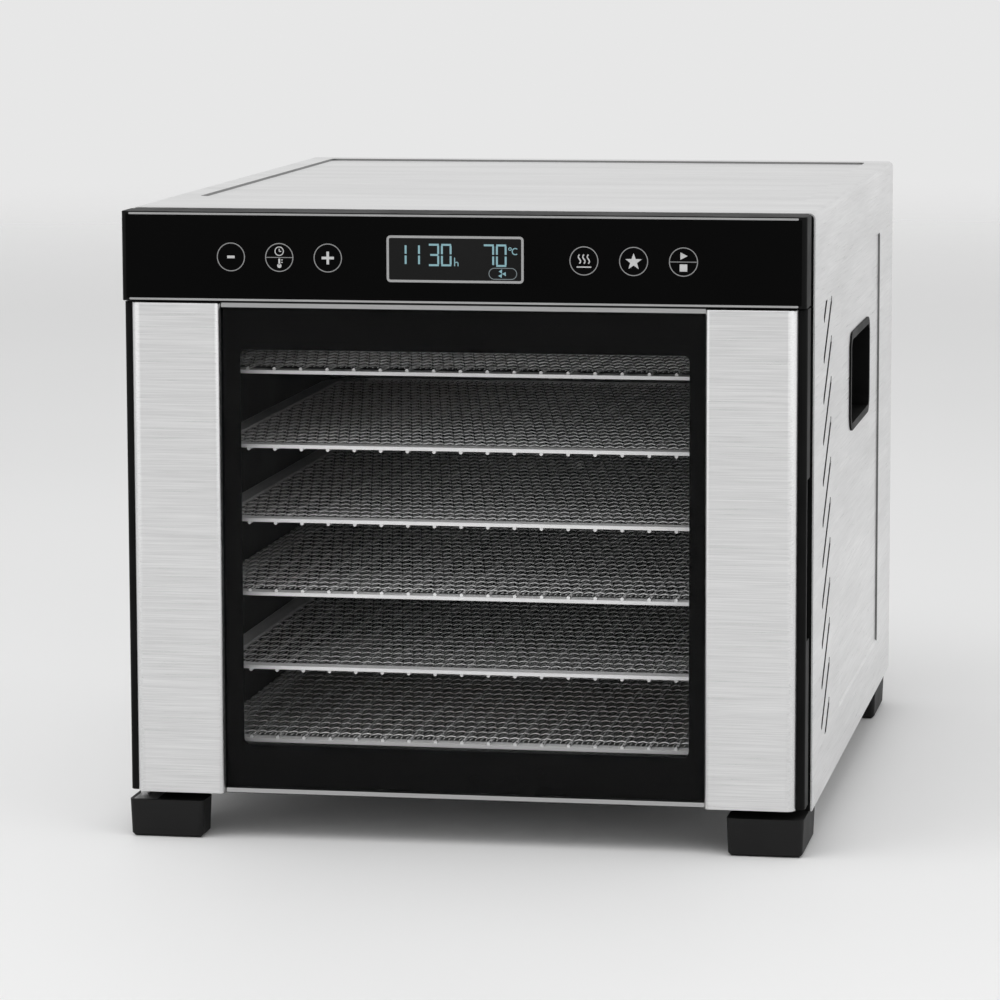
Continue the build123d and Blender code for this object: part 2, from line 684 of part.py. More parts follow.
def runner_heights():
    """Tops of the ledges, from the highest rack down to the tray."""
    heights = []
    for number in range(1, RACKS + 1):
        heights.append(rack_z(number) - STRIP_T / 2 - SLIDE_CLEAR)
    heights.append(Z_TRAY_TOP - TRAY_T - SLIDE_CLEAR)
    return heights


# ---- racks and tray ----
def rack_outline(inset):
    radius = max(RACK_R - inset, STRIP_T)
    return RectangleRounded(2 * (X_RACK - inset), RACK_D - 2 * inset, radius)


def wire_reach(x):
    """Half length of the depth wire at x, which ends short of the strip's outer edge."""
    corner_x = X_RACK - RACK_R
    if abs(x) <= corner_x:
        return RACK_D / 2 - WIRE_BACK
    reach = math.sqrt((RACK_R - WIRE_BACK) ** 2 - (abs(x) - corner_x) ** 2)
    return RACK_D / 2 - RACK_R + reach


def placed_rack(shape, number):
    """Moves a rack's piece to its level; a flipped rack has its wires on top."""
    turn = Rot(0, 180, 0) if number in FLIPPED else Rot(0, 0, 0)
    return Pos(0, RACK_MID, rack_z(number)) * turn * shape


def rack_frame():
    """Flat steel strip bent into a frame, with the depth wires welded across it."""
    half = STRIP_T / 2
    frame = plate_xy(rack_outline(0) - rack_outline(STRIP_W), 0, 0, (-half, half))
    per_side = int((X_RACK - STRIP_W) / WIRE_PITCH - 0.5) + 1
    for i in range(-per_side, per_side):
        x = WIRE_PITCH * (i + 0.5)
        frame += rod_y(WIRE_R, x, WIRE_Z, (-wire_reach(x), wire_reach(x)))
    return frame


def rack_mesh():
    """Panel of fine woven mesh that fills the strip frame."""
    return plate_xy(rack_outline(STRIP_W), 0, 0, (-MESH_T / 2, MESH_T / 2))


def mesh_on_wires():
    """Wider panel of the same mesh that lies on the outer side of the wires."""
    return plate_xy(rack_outline(WIRE_BACK), 0, 0, (WIRE_Z - WIRE_R - MESH_T, WIRE_Z - WIRE_R))


def drip_tray():
    """Shallow tray that hangs in the lowest runners by its flange."""
    wall = LEDGE_W - RACK_CLEAR + TRAY_CLEAR
    z = (Z_TRAY_TOP - TRAY_H, Z_TRAY_TOP)
    well = RectangleRounded(2 * (X_RACK - wall), RACK_D - 2 * wall, TRAY_R)
    hollow = RectangleRounded(2 * (X_RACK - wall - TRAY_T), RACK_D - 2 * (wall + TRAY_T), TRAY_R - TRAY_T)
    flange = RectangleRounded(2 * X_RACK, RACK_D, TRAY_R)
    tray = plate_xy(well, 0, RACK_MID, z)
    tray += plate_xy(flange, 0, RACK_MID, (Z_TRAY_TOP - TRAY_T, Z_TRAY_TOP))
    tray -= plate_xy(hollow, 0, RACK_MID, (z[0] + TRAY_T, Z_TRAY_TOP + OVER))
    return tray


# ---- control panel ----
def trim_bar(z):
    """Thin bright bar with round ends, let into the front of the control panel."""
    half = X_PANEL_GLASS - TRIM_END
    return plate_xz(SlotOverall(2 * half, TRIM_H), 0, z, (Y_FRONT, Y_FRONT + TRIM_D))


def panel_trim():
    low = Z_CONTROL + GLASS_RIM - TRIM_H / 2
    high = Z_CONTROL_TOP - GLASS_RIM + TRIM_H / 2
    return group([trim_bar(low), trim_bar(high)])


def control_housing():
    """Black housing of the control panel, open at the back towards the front frame."""
    body = both_sides(X_MODULE, (Y_BEZEL, Y_CASE), (Z_CONTROL, Z_CONTROL_TOP))
    body = fillet(body.edges().filter_by(Axis.Z).group_by(Axis.Y)[0], MODULE_EDGE_R)
    body = chamfer(body.faces().sort_by(Axis.Y)[0].edges().group_by(Axis.Z)[-1], PANEL_BEVEL)
    glass_z = (Z_CONTROL + GLASS_RIM, Z_CONTROL_TOP - GLASS_RIM)
    body -= both_sides(X_PANEL_GLASS, (Y_BEZEL - OVER, Y_GLASS_SEAT), glass_z)
    cavity_z = (Z_CONTROL + PANEL_WALL, Z_CONTROL_TOP - PANEL_WALL)
    body -= both_sides(X_CAVITY, (Y_GLASS_SEAT - OVER, Y_CASE + OVER), cavity_z)
    body -= panel_trim().solids()
    rebate_y = (Y_CASE - REBATE_D, Y_CASE + OVER)
    rebate_z = (Z_CONTROL - OVER, Z_CONTROL_TOP + OVER)
    rebate = block((X_MODULE - REBATE_W, X_MODULE + OVER), rebate_y, rebate_z)
    body -= [rebate, mirrored(rebate)]
    bore_z = (Z_CONTROL - OVER, Z_CONTROL + PIN_OUT_TOP + PIN_END_CLEAR)
    body -= rod_z(PIN_R + RUN_FIT, HINGE_X, HINGE_Y, bore_z)
    return body


def display_outline(growth):
    """The display's window, widened by growth all round."""
    return RectangleRounded(DISPLAY_W + 2 * growth, DISPLAY_H + 2 * growth, DISPLAY_R + growth)


def display_frame():
    """Thin bright ring round the display, let into the glass."""
    y = (Y_FRONT, Y_FRONT + RING_DEPTH)
    ring = plate_xz(display_outline(0), DISPLAY_X, Z_CONTROL_MID, y)
    return ring - plate_xz(display_outline(-DISPLAY_RING), DISPLAY_X, Z_CONTROL_MID, y)


def control_glass():
    glass_z = (Z_CONTROL + GLASS_RIM, Z_CONTROL_TOP - GLASS_RIM)
    glass = both_sides(X_PANEL_GLASS, (Y_PANEL_GLASS, Y_GLASS_SEAT), glass_z)
    through = (Y_PANEL_GLASS - OVER, Y_GLASS_SEAT + OVER)
    glass -= plate_xz(display_outline(-DISPLAY_RING), DISPLAY_X, Z_CONTROL_MID, through)
    groove = (Y_PANEL_GLASS - OVER, Y_FRONT + RING_DEPTH)
    glass -= plate_xz(display_outline(0), DISPLAY_X, Z_CONTROL_MID, groove)
    return glass


def display_module():
    """Liquid crystal module whose face fills the window of the glass."""
    face = (Y_PANEL_GLASS, Y_GLASS_SEAT)
    lens = plate_xz(display_outline(-DISPLAY_RING), DISPLAY_X, Z_CONTROL_MID, face)
    case_half = DISPLAY_W / 2 + LCD_MARGIN
    case_z = (Z_CONTROL_MID - DISPLAY_H / 2 - LCD_MARGIN, Z_CONTROL_MID + DISPLAY_H / 2 + LCD_MARGIN)
    return lens + block((DISPLAY_X - case_half, DISPLAY_X + case_half), (Y_GLASS_SEAT, Y_BOARD), case_z)


def key_places():
    starts = (KEY_LEFT, KEY_RIGHT)
    return [start + KEY_PITCH * i for start in starts for i in range(KEYS_PER_SIDE)]


def touch_pads():
    """Conductive foam rings between the keys on the glass and the control board."""
    ring = Circle(PAD_R) - Circle(PAD_R - PAD_WALL)
    return group(plate_xz(ring, x, Z_CONTROL_MID, (Y_GLASS_SEAT, Y_BOARD)) for x in key_places())


def control_board():
    margin = PANEL_WALL + BOARD_CLEAR
    z = (Z_CONTROL + margin, Z_CONTROL_TOP - margin)
    return both_sides(X_CAVITY - BOARD_CLEAR, (Y_BOARD, Y_BOARD + BOARD_T), z)


def power_board():
    """Mains board on four legs above the chamber, with its larger components."""
    base = Z_CEILING + LINER_T
    low = base + POWER_LEG
    y = (Y_LINER + POWER_FRONT, Y_LINER + POWER_FRONT + POWER_D)
    board = both_sides(POWER_W / 2, y, (low, low + BOARD_T))
    leg_x = POWER_W / 2 - POWER_LEG_EDGE
    for x in (-leg_x, leg_x):
        for leg_y in (y[0] + POWER_LEG_EDGE, y[1] - POWER_LEG_EDGE):
            board += rod_z(POWER_LEG_R, x, leg_y, (base, low))
    top = low + BOARD_T
    middle_y = (y[0] + y[1]) / 2
    parts_x = POWER_W / 4
    board += Pos(-parts_x, middle_y, top + TRANSFORMER[2] / 2) * Box(*TRANSFORMER)
    board += Pos(parts_x, middle_y + RELAY[1], top + RELAY[2] / 2) * Box(*RELAY)
    board += rod_z(CAPACITOR_R, parts_x, middle_y - RELAY[1], (top, top + CAPACITOR_H))
    return board


# ---- door ----
def door_frame():
    """Plastic frame of the door; its back corner at the hinge is round about the hinge axis."""
    frame = both_sides(X_MODULE, (Y_DOOR_FACE, Y_DOOR_BACK), (Z_DOOR, Z_DOOR_TOP))
    uprights = frame.edges().filter_by(Axis.Z)
    hinge_corner = uprights.group_by(Axis.X)[0].sort_by(Axis.Y)[-1]
    frame = fillet(hinge_corner, HINGE_EDGE)
    front_corners = frame.edges().filter_by(Axis.Z).group_by(Axis.Y)[0]
    frame = fillet(front_corners, MODULE_EDGE_R)
    front = Y_DOOR_FACE - OVER
    glass_x = X_GLASS + GLASS_CLEAR
    frame -= both_sides(glass_x, (front, Y_GLASS_BACK), (Z_GLASS - GLASS_CLEAR, Z_GLASS_TOP))
    trim_back = Y_DOOR_FACE + TRIM_BACK
    frame -= both_sides(glass_x, (front, trim_back), (Z_DOOR - OVER, Z_DOOR_TOP + OVER))
    opening_x = (-X_WINDOW - BORDER_LAP, X_WINDOW + BORDER_LAP)
    opening_z = (Z_WINDOW - BORDER_LAP, Z_WINDOW_TOP + BORDER_LAP)
    frame -= window_xz(opening_x, opening_z, WINDOW_R + BORDER_LAP, (front, Y_DOOR_BACK + OVER))
    frame -= grip_cut()
    frame -= [rod_z(PIN_R + PRESS_CLEAR, HINGE_X, HINGE_Y, z) for z in pin_bores()]
    frame -= door_magnets().solids()
    return frame


def grip_cut():
    """Finger grip in the back of the door's free edge."""
    outline = RectangleRounded(2 * GRIP_DEPTH, GRIP_H, GRIP_R)
    return plate_xz(outline, X_MODULE, Z_DOOR_MID, (Y_DOOR_FACE + GRIP_WALL, Y_DOOR_BACK + OVER))


def pin_bores():
    return [(Z_DOOR - OVER, Z_DOOR + PIN_IN_DOOR), (Z_DOOR_TOP - PIN_IN_DOOR, Z_DOOR_TOP + OVER)]


def hinge_pins():
    """Lower pin stands in the hinge bracket, upper pin in the control housing."""
    low = (Z_BASE - HINGE_PLATE_T + PIN_END_CLEAR, Z_DOOR + PIN_IN_DOOR)
    high = (Z_DOOR_TOP - PIN_IN_DOOR, Z_CONTROL + PIN_OUT_TOP)
    return group(rod_z(PIN_R, HINGE_X, HINGE_Y, z) for z in (low, high))


def bracket_plate():
    """Outline of the hinge bracket, which the front left foot also takes as its seat."""
    half = FOOT_LEG / 2 - BRACKET_INSET
    y = (FOOT_Y + BRACKET_INSET, FOOT_Y + FOOT_D - BRACKET_INSET)
    return block((-FOOT_SCREW_X - half, -FOOT_SCREW_X + half), y, (Z_BASE - HINGE_PLATE_T, Z_BASE))


def hinge_bracket():
    through = (Z_BASE - HINGE_PLATE_T - OVER, Z_BASE + OVER)
    plate = bracket_plate() - rod_z(PIN_R + RUN_FIT, HINGE_X, HINGE_Y, through)
    return plate - rod_z(FOOT_SCREW_R + SCREW_CLEAR, -FOOT_SCREW_X, FRONT_SCREW_Y, through)


def door_glass():
    return both_sides(X_GLASS, (Y_DOOR_FACE, Y_GLASS_BACK), (Z_GLASS, Z_GLASS_TOP))


def glass_trim():
    """Bright strips along the lower and the upper edge of the glass."""
    y = (Y_DOOR_FACE - TRIM_PROUD, Y_DOOR_FACE + TRIM_BACK)
    low = both_sides(X_GLASS, y, (Z_DOOR + GLASS_CLEAR, Z_GLASS))
    high = both_sides(X_GLASS, y, (Z_GLASS_TOP, Z_DOOR_TOP))
    return group([low, high])


def door_post_right():
    """Folded steel post cap, open at the back, with a large radius on its outer edge."""
    y = (Y_FRONT, Y_DOOR_FACE)
    z = (Z_DOOR, Z_DOOR_TOP)
    post = block((X_POST_IN, X_POST), y, z)
    post = fillet(post.edges().filter_by(Axis.Z).group_by(Axis.Y)[0].sort_by(Axis.X)[-1], POST_OUT_R)
    post = fillet(post.edges().filter_by(Axis.Z).group_by(Axis.X)[0].sort_by(Axis.Y)[0], POST_IN_R)
    hollow_x = (X_POST_IN + POST_SHEET, X_POST - POST_SHEET)
    hollow = block(hollow_x, (Y_FRONT + POST_SHEET, Y_DOOR_FACE), (z[0] + POST_SHEET, z[1] - POST_SHEET))
    outer_edge = hollow.edges().filter_by(Axis.Z).group_by(Axis.Y)[0].sort_by(Axis.X)[-1]
    return post - fillet(outer_edge, POST_OUT_R - POST_SHEET)


def door_seal():
    """Silicone ring on the door's back that meets the front frame round the mouth."""
    y = (Y_DOOR_BACK, Y_CASE - SEAL_CLEAR)
    x_in = X_CHAMBER + SEAL_MARGIN
    z_in = (Z_FLOOR - SEAL_MARGIN, Z_CEILING + SEAL_MARGIN)
    inner = window_xz((-x_in, x_in), z_in, SEAL_R - SEAL_W, y)
    outer_z = (z_in[0] - SEAL_W, z_in[1] + SEAL_W)
    return window_xz((-x_in - SEAL_W, x_in + SEAL_W), outer_z, SEAL_R, y) - inner


def door_magnets():
    """Catch magnets in the door's back, above and below the grip."""
    y = (Y_DOOR_BACK - MAGNET_T, Y_DOOR_BACK)
    heights = (Z_DOOR + MAGNET_END, Z_DOOR_TOP - MAGNET_END)
    return group(rod_y(MAGNET_R, X_MODULE - MAGNET_SIDE, z, y) for z in heights)


# ---- fan and heater ----
def fan_impeller():
    """Open radial impeller with leaning blades on a disc."""
    impeller = rod_y(FAN_R, 0, FAN_Z, (Y_DISC_BACK - DISC_T, Y_DISC_BACK))
    impeller += rod_y(HUB_R, 0, FAN_Z, (Y_HUB, Y_DISC_BACK))
    length = FAN_R - BLADE_IN_R
    depth = Y_DISC_BACK - DISC_T - Y_HUB
    outline = Pos((FAN_R + BLADE_IN_R) / 2, 0) * Rot(0, 0, BLADE_TILT) * Rectangle(length, BLADE_T)
    for i in range(BLADES):
        turned = Rot(0, 0, 360 * i / BLADES) * outline
        impeller += plate_xz(turned, 0, FAN_Z, (Y_HUB, Y_HUB + depth))
    return impeller - rod_y(SHAFT_R + PRESS_CLEAR, 0, FAN_Z, (Y_HUB - OVER, Y_DISC_BACK + OVER))


def fan_shaft():
    return rod_y(SHAFT_R, 0, FAN_Z, (Y_HUB - SHAFT_FRONT, Y_MOTOR + SHAFT_IN_MOTOR))


def fan_nut():
    y = (Y_HUB - NUT_T, Y_HUB)
    return plate_xz(RegularPolygon(NUT_R, 6) - Circle(SHAFT_R + PRESS_CLEAR), 0, FAN_Z, y)


def fan_motor():
    """Shaded pole motor: can, front boss and the shaft's blind bore."""
    can = rod_y(MOTOR_R, 0, FAN_Z, (Y_MOTOR, Y_MOTOR_END))
    can = fillet(can.edges().sort_by(Axis.Y)[-1], MOTOR_EDGE)
    can += rod_y(BOSS_R, 0, FAN_Z, (Y_BRACKET, Y_MOTOR))
    bore_end = Y_MOTOR + SHAFT_IN_MOTOR + PIN_END_CLEAR
    return can - rod_y(SHAFT_R + RUN_FIT, 0, FAN_Z, (Y_BRACKET - OVER, bore_end))


def motor_bracket():
    plate = plate_xz(RectangleRounded(BRACKET_SIZE, BRACKET_SIZE, BOSS_R), 0, FAN_Z, (Y_BRACKET, Y_MOTOR))
    return plate - rod_y(BOSS_R + BOSS_CLEAR, 0, FAN_Z, (Y_BRACKET - OVER, Y_MOTOR + OVER))


def coil_ends():
    """Places in the front view where the heater's two ends go back through the partition."""
    half_gap = math.radians((360 - COIL_ARC) / 2)
    z = FAN_Z + COIL_R * math.cos(half_gap)
    x = COIL_R * math.sin(half_gap)
    return [(-x, z), (x, z)]


def heater_coil():
    """Ring heater round the impeller, with both ends carried back through the partition."""
    y = Y_PARTITION - COIL_GAP
    start = math.radians(90 + (360 - COIL_ARC) / 2)
    profile_plane = Plane(
        origin=(COIL_R * math.cos(start), y, FAN_Z + COIL_R * math.sin(start)),
        x_dir=(math.cos(start), 0, math.sin(start)),
        z_dir=(math.sin(start), 0, -math.cos(start)),
    )
    centre = Axis((0, y, FAN_Z), (0, -1, 0))
    coil = revolve(profile_plane * Circle(COIL_TUBE_R), axis=centre, revolution_arc=COIL_ARC)
    for x, z in coil_ends():
        coil += Pos(x, y, z) * Sphere(COIL_TUBE_R)
        coil += rod_y(COIL_TUBE_R, x, z, (y, Y_BRACKET + COIL_TAIL))
    return coil


def thermal_cutout():
    return rod_y(CUTOUT_R, CUTOUT_X, FAN_Z + CUTOUT_Z, (Y_BRACKET, Y_BRACKET + CUTOUT_T))


def temperature_sensor():
    """Probe that looks through the baffle into the chamber, with its flange behind the baffle."""
    back = Y_BAFFLE + PLATE_T
    z = FAN_Z + PROBE_Z
    probe = rod_y(PROBE_R, PROBE_X, z, (Y_BAFFLE - PROBE_OUT, back + PROBE_IN))
    return probe + rod_y(PROBE_FLANGE_R, PROBE_X, z, (back, back + PROBE_FLANGE_T))


# ---- all nodes ----
os.makedirs("parts", exist_ok=True)

right_wall = chamber_right_wall()
right_runners = group(runner(z) for z in runner_heights())
right_cup = handle_cup()
right_post = door_post_right()
nodes = {
    "outer_shell": outer_shell(),
    "base_pan": base_pan(),
    "front_frame": front_frame(),
    "rear_panel": rear_panel(),
    "rear_screws": rear_screws(),
    "cord_gland": cord_gland(),
    "handle_cup_left": mirrored(right_cup),
    "handle_cup_right": right_cup,
    "foot_front_left": foot_front_left(),
    "foot_front_right": foot_front_right(),
    "foot_rear_left": mirrored(foot_rear_right()),
    "foot_rear_right": foot_rear_right(),
    "foot_screws": foot_screws(),
    "chamber_left_wall": mirrored(right_wall),
    "chamber_right_wall": right_wall,
    "chamber_top": chamber_top(),
    "chamber_floor": chamber_floor(),
    "air_baffle": air_baffle(),
    "air_partition": air_partition(),
    "rack_runners_left": mirrored(right_runners),
    "rack_runners_right": right_runners,
    "control_housing": control_housing(),
    "control_glass": control_glass(),
    "panel_trim": panel_trim(),
    "display_frame": display_frame(),
    "display_module": display_module(),
    "control_board": control_board(),
    "touch_pads": touch_pads(),
    "power_board": power_board(),
    "fan_motor": fan_motor(),
    "motor_bracket": motor_bracket(),
    "heater_coil": heater_coil(),
    "thermal_cutout": thermal_cutout(),
    "temperature_sensor": temperature_sensor(),
    "hinge_bracket": hinge_bracket(),
    "door_frame": door_frame(),
    "door_glass": door_glass(),
    "glass_trim": glass_trim(),
    "door_post_left": mirrored(right_post),
    "door_post_right": right_post,
    "door_seal": door_seal(),
    "door_magnets": door_magnets(),
    "hinge_pins": hinge_pins(),
    "fan_impeller": fan_impeller(),
    "fan_shaft": fan_shaft(),
    "fan_nut": fan_nut(),
    "drip_tray": drip_tray(),
}
frame_shape = rack_frame()
inner_mesh = rack_mesh()
outer_mesh = mesh_on_wires()
for number in range(1, RACKS + 1):
    mesh_shape = outer_mesh if number in FLIPPED else inner_mesh
    nodes[f"rack_{number}_frame"] = placed_rack(frame_shape, number)
    nodes[f"rack_{number}_mesh"] = placed_rack(mesh_shape, number)

for name, shape in nodes.items():
    export_step(shape, f"parts/{name}.step")
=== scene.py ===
import math

import bmesh
import bpy
from mathutils import Matrix, Vector


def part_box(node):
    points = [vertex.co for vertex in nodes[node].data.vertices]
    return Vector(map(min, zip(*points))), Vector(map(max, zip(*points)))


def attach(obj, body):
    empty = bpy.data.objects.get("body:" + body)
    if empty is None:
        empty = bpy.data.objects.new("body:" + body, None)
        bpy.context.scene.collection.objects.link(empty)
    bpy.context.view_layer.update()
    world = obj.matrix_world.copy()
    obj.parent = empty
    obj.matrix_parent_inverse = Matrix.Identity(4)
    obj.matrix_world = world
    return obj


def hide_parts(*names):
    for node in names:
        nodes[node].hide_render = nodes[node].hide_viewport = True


# Looks of the cabinet food dehydrator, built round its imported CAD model. Metres, unless a name ends in _MM.

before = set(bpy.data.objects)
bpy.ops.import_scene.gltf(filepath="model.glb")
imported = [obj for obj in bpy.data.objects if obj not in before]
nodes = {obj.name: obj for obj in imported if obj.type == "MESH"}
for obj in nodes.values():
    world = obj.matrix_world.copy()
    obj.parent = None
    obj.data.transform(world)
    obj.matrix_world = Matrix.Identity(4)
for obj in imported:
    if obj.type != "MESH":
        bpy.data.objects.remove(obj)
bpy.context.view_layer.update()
MM = 0.001

# ---- brushed sheet: cycles of its grain and of its soft bands per metre ----
GRAIN_ALONG = 28.0
GRAIN_ACROSS = 2300.0
GRAIN_DEPTH = 0.00012
BAND_ALONG = 7.0
BAND_ACROSS = 55.0
BAND_SHADE = 0.88  # darkest band of the shell's sheet
SIDEWAYS = 0.7  # faces whose normal has more than this of x look left or right

# ---- pressed case ----
SLOPE_LEAN = (0.05, 0.2)  # lean at which the painted shade on a slope starts, and at which it is full
# share of the colour left on the pressings' slopes: painted shade
SLOPE_PAINTED_SHADE = 0.16
SLOPE_FORWARD = -0.3  # slopes whose normal has less than this of y look forward
BEND_REACH = 0.004  # the outer bends end this far from the case's top and sides

# ---- softened edges ----
PANEL_EDGE = 0.0003
FOOT_EDGE = 0.0006
EDGE_STEPS = 2
EDGE_ANGLE = 50.0  # degrees between the faces of an edge that is softened
FLAT_ANGLE = 0.5
WELD_REACH = 0.000002

# ---- racks ----
RACKS = range(1, 7)
WIRE_MM = 0.7
DEPTH_PITCH_MM = 2.73
CROSS_PITCH_MM = 13.65
WEAVE_CORNER_MM = 21.0
WEAVE_MARGIN = 0.0005  # the weave ends this far inside the edge of the rack's mesh
STRIP_LEAN = (0.01, 0.08)  # lean at which a face counts as round wire rather than flat strip
WIRE_PAINTED_SHADE = 0.3  # share of the strips' brightness that their welded wires have, as painted shade

# ---- door glass ----
PRINT_T = 0.0003  # black printed border on the back of the glass
PRINT_GAP = 0.00005
PRINT_SIDE = 0.0085
PRINT_TOP = 0.0215
PRINT_LOW = 0.0215
WINDOW_R = 0.003
PANE_CHAMFER = 0.0004
PANE_ALPHA = 0.06  # share of the light that each face of the pane takes

# ---- marks printed on the control panel, millimetres ----
MARK_FACE_MM = -224.8
MARK_T_MM = 0.04
KEY_PITCH_MM = 24.5
LEFT_KEYS_MM = -115.0
RIGHT_KEYS_MM = 61.8
KEY_RING_R_MM = 6.9
KEY_LINE_MM = 0.45
KEY_SPLIT_MM = 0.35
BOLD_MM = 1.3
MINUS_W_MM = 3.8
PLUS_W_MM = 6.2
PLUS_STUB_MM = 2.5
DIGIT_W_MM = 5.3
DIGIT_H_MM = 11.0
SEGMENT_MM = 0.95
SEGMENT_GAP_MM = 0.18
DIGIT_DROP_MM = 3.4
LETTER_MM = 0.5
PILL_W_MM = 8.4
PILL_R_MM = 2.7
PILL_LINE_MM = 0.35
PILL_X_MM = 23.8  # middle of the pill, from the middle of the display
PILL_DROP_MM = 6.8
FAN_X_MM = 23.4

# t top, p upper right, q lower right, b bottom, r lower left, s upper left, m middle
DIGITS = {"0": "tpqbrs", "1": "pq", "3": "tpqbm", "7": "tpq"}
# each figure, and its left edge from the middle of the display
FIGURES_MM = (("1", -29.5), ("1", -22.8), ("3", -13.2), ("0", -7.0), ("7", 14.2), ("0", 20.4))

# ---- studio ----
FLOOR_TONE = 0.85
FLOOR_FADE = (2.3, 5.0)  # distances at which the floor starts and ends its fade
FLOOR_DROP = 0.0002
FLOOR_EDGES = 96
WORLD_HORIZON = 0.8
WORLD_ZENITH = 0.7
WORLD_RISE = (0.15, 0.95)  # heights between which the surroundings turn from one to the other
WORLD_LIGHT = 0.95  # share of the surroundings' brightness that lights matt surfaces
# name, place, point that it looks at, size and watts of each lamp
LAMPS = (
    ("high_front", (-0.4, -1.0, 2.7), (0.0, 0.0, 0.15), (2.4, 2.2), 26.0),
    ("front_left", (-2.0, -1.6, 1.1), (0.0, -0.2, 0.15), (2.6, 2.4), 8.0),
    ("front_right", (1.3, -2.2, 1.3), (0.0, -0.1, 0.15), (2.4, 2.2), 7.0),
    ("right_side", (2.4, -0.6, 1.0), (0.1, 0.0, 0.15), (2.6, 2.2), 7.5),
)
LENS_MM = 162.04
SENSOR_MM = 36.0
CLIP = (0.05, 60.0)
CAMERA_PLACE = (0.4037, -2.3907, 0.4746)
CAMERA_YAW = 10.05  # degrees, to the left of straight ahead
CAMERA_TILT = 7.745  # downwards
CAMERA_ROLL = -0.178


# ------------------------------------------------------------------------------------ shader nodes


def grey(level, tint=(1.0, 1.0, 1.0)):
    return (level * tint[0], level * tint[1], level * tint[2], 1.0)


def finish(name, **values):
    """Material with one Principled shader, whose uniform values are set straight on its sockets."""
    made = bpy.data.materials.new(name)
    made.use_nodes = True
    for key, value in values.items():
        shader(made).inputs[key.replace("_", " ").title().replace("Ior", "IOR")].default_value = value
    return made


def shader(made):
    return made.node_tree.nodes["Principled BSDF"]


def worked_out(made, operation, first, second=0.0):
    """Result of a math node on two sockets or numbers."""
    step = made.node_tree.nodes.new("ShaderNodeMath")
    step.operation = operation
    for socket, value in zip(step.inputs, (first, second)):
        if isinstance(value, (int, float)):
            socket.default_value = value
        else:
            made.node_tree.links.new(value, socket)
    return step.outputs["Value"]


def parts_of(made, output):
    """The x, y and z of one output of the texture coordinates."""
    tree = made.node_tree
    place = tree.nodes.new("ShaderNodeTexCoord")
    parts = tree.nodes.new("ShaderNodeSeparateXYZ")
    tree.links.new(place.outputs[output], parts.inputs["Vector"])
    return parts.outputs["X"], parts.outputs["Y"], parts.outputs["Z"]


def ramp(made, field, start, end, low, high, curve="LINEAR"):
    """Turns the field's range from start to end into the range from low to high."""
    span = made.node_tree.nodes.new("ShaderNodeMapRange")
    span.interpolation_type = curve
    for key, value in (("From Min", start), ("From Max", end), ("To Min", low), ("To Max", high)):
        span.inputs[key].default_value = value
    made.node_tree.links.new(field, span.inputs["Value"])
    return span.outputs["Result"]


def spread(made, field, low, high):
    """Stretches the middle of a noise field over the range low to high."""
    return ramp(made, field, 0.3, 0.7, low, high)


def mixed(made, share, first, second):
    """Colour between the first and the second."""
    blend = made.node_tree.nodes.new("ShaderNodeMix")
    blend.data_type = "RGBA"
    blend.inputs["A"].default_value = first
    blend.inputs["B"].default_value = second
    made.node_tree.links.new(share, blend.inputs["Factor"])
    return blend.outputs["Result"]


def noise(made, cycles, detail=2.0, offset=0.0):
    """Noise in the piece's own coordinates, with so many cycles per metre along x, y and z."""
    tree = made.node_tree
    place = tree.nodes.new("ShaderNodeTexCoord")
    stretch = tree.nodes.new("ShaderNodeMapping")
    stretch.inputs["Scale"].default_value = cycles
    stretch.inputs["Location"].default_value = (offset, offset, offset)
    field = tree.nodes.new("ShaderNodeTexNoise")
    field.inputs["Scale"].default_value = 1.0
    field.inputs["Detail"].default_value = detail
    tree.links.new(place.outputs["Object"], stretch.inputs["Vector"])
    tree.links.new(stretch.outputs["Vector"], field.inputs["Vector"])
    return field.outputs["Fac"]


def even_noise(made, cycles, detail=2.0, offset=0.0):
    return noise(made, (cycles, cycles, cycles), detail, offset)


def vary_colour(made, field, dark, light):
    colour = mixed(made, spread(made, field, 0.0, 1.0), dark, light)
    made.node_tree.links.new(colour, shader(made).inputs["Base Color"])


def vary_roughness(made, field, low, high):
    made.node_tree.links.new(spread(made, field, low, high), shader(made).inputs["Roughness"])


def emboss(made, field, strength, depth):
    tree = made.node_tree
    bump = tree.nodes.new("ShaderNodeBump")
    bump.inputs["Strength"].default_value = strength
    bump.inputs["Distance"].default_value = depth
    tree.links.new(field, bump.inputs["Height"])
    tree.links.new(bump.outputs["Normal"], shader(made).inputs["Normal"])


def shaded(made, share):
    """Multiplies the colour that the shader has by the field."""
    tree = made.node_tree
    colour = shader(made).inputs["Base Color"]
    scaled = tree.nodes.new("ShaderNodeVectorMath")
    scaled.operation = "SCALE"
    tree.links.new(colour.links[0].from_socket, scaled.inputs[0])
    tree.links.new(share, scaled.inputs["Scale"])
    tree.links.new(scaled.outputs["Vector"], colour)


def along_sides(made, on_sides, elsewhere):
    """Takes one field on faces that look left or right, and the other on the rest."""
    tree = made.node_tree
    sideways = worked_out(made, "ABSOLUTE", parts_of(made, "Normal")[0])
    pick = tree.nodes.new("ShaderNodeMix")
    tree.links.new(worked_out(made, "GREATER_THAN", sideways, SIDEWAYS), pick.inputs["Factor"])
    tree.links.new(elsewhere, pick.inputs["A"])
    tree.links.new(on_sides, pick.inputs["B"])
    return pick.outputs["Result"]


def lean(made):
    """0 on faces that look along x, y or z, and more the further a face leans from them."""
    sizes = [worked_out(made, "ABSOLUTE", part) for part in parts_of(made, "Normal")]
    largest = worked_out(made, "MAXIMUM", worked_out(made, "MAXIMUM", sizes[0], sizes[1]), sizes[2])
    return worked_out(made, "SUBTRACT", 1.0, largest)


# ------------------------------------------------------------------------------------ materials


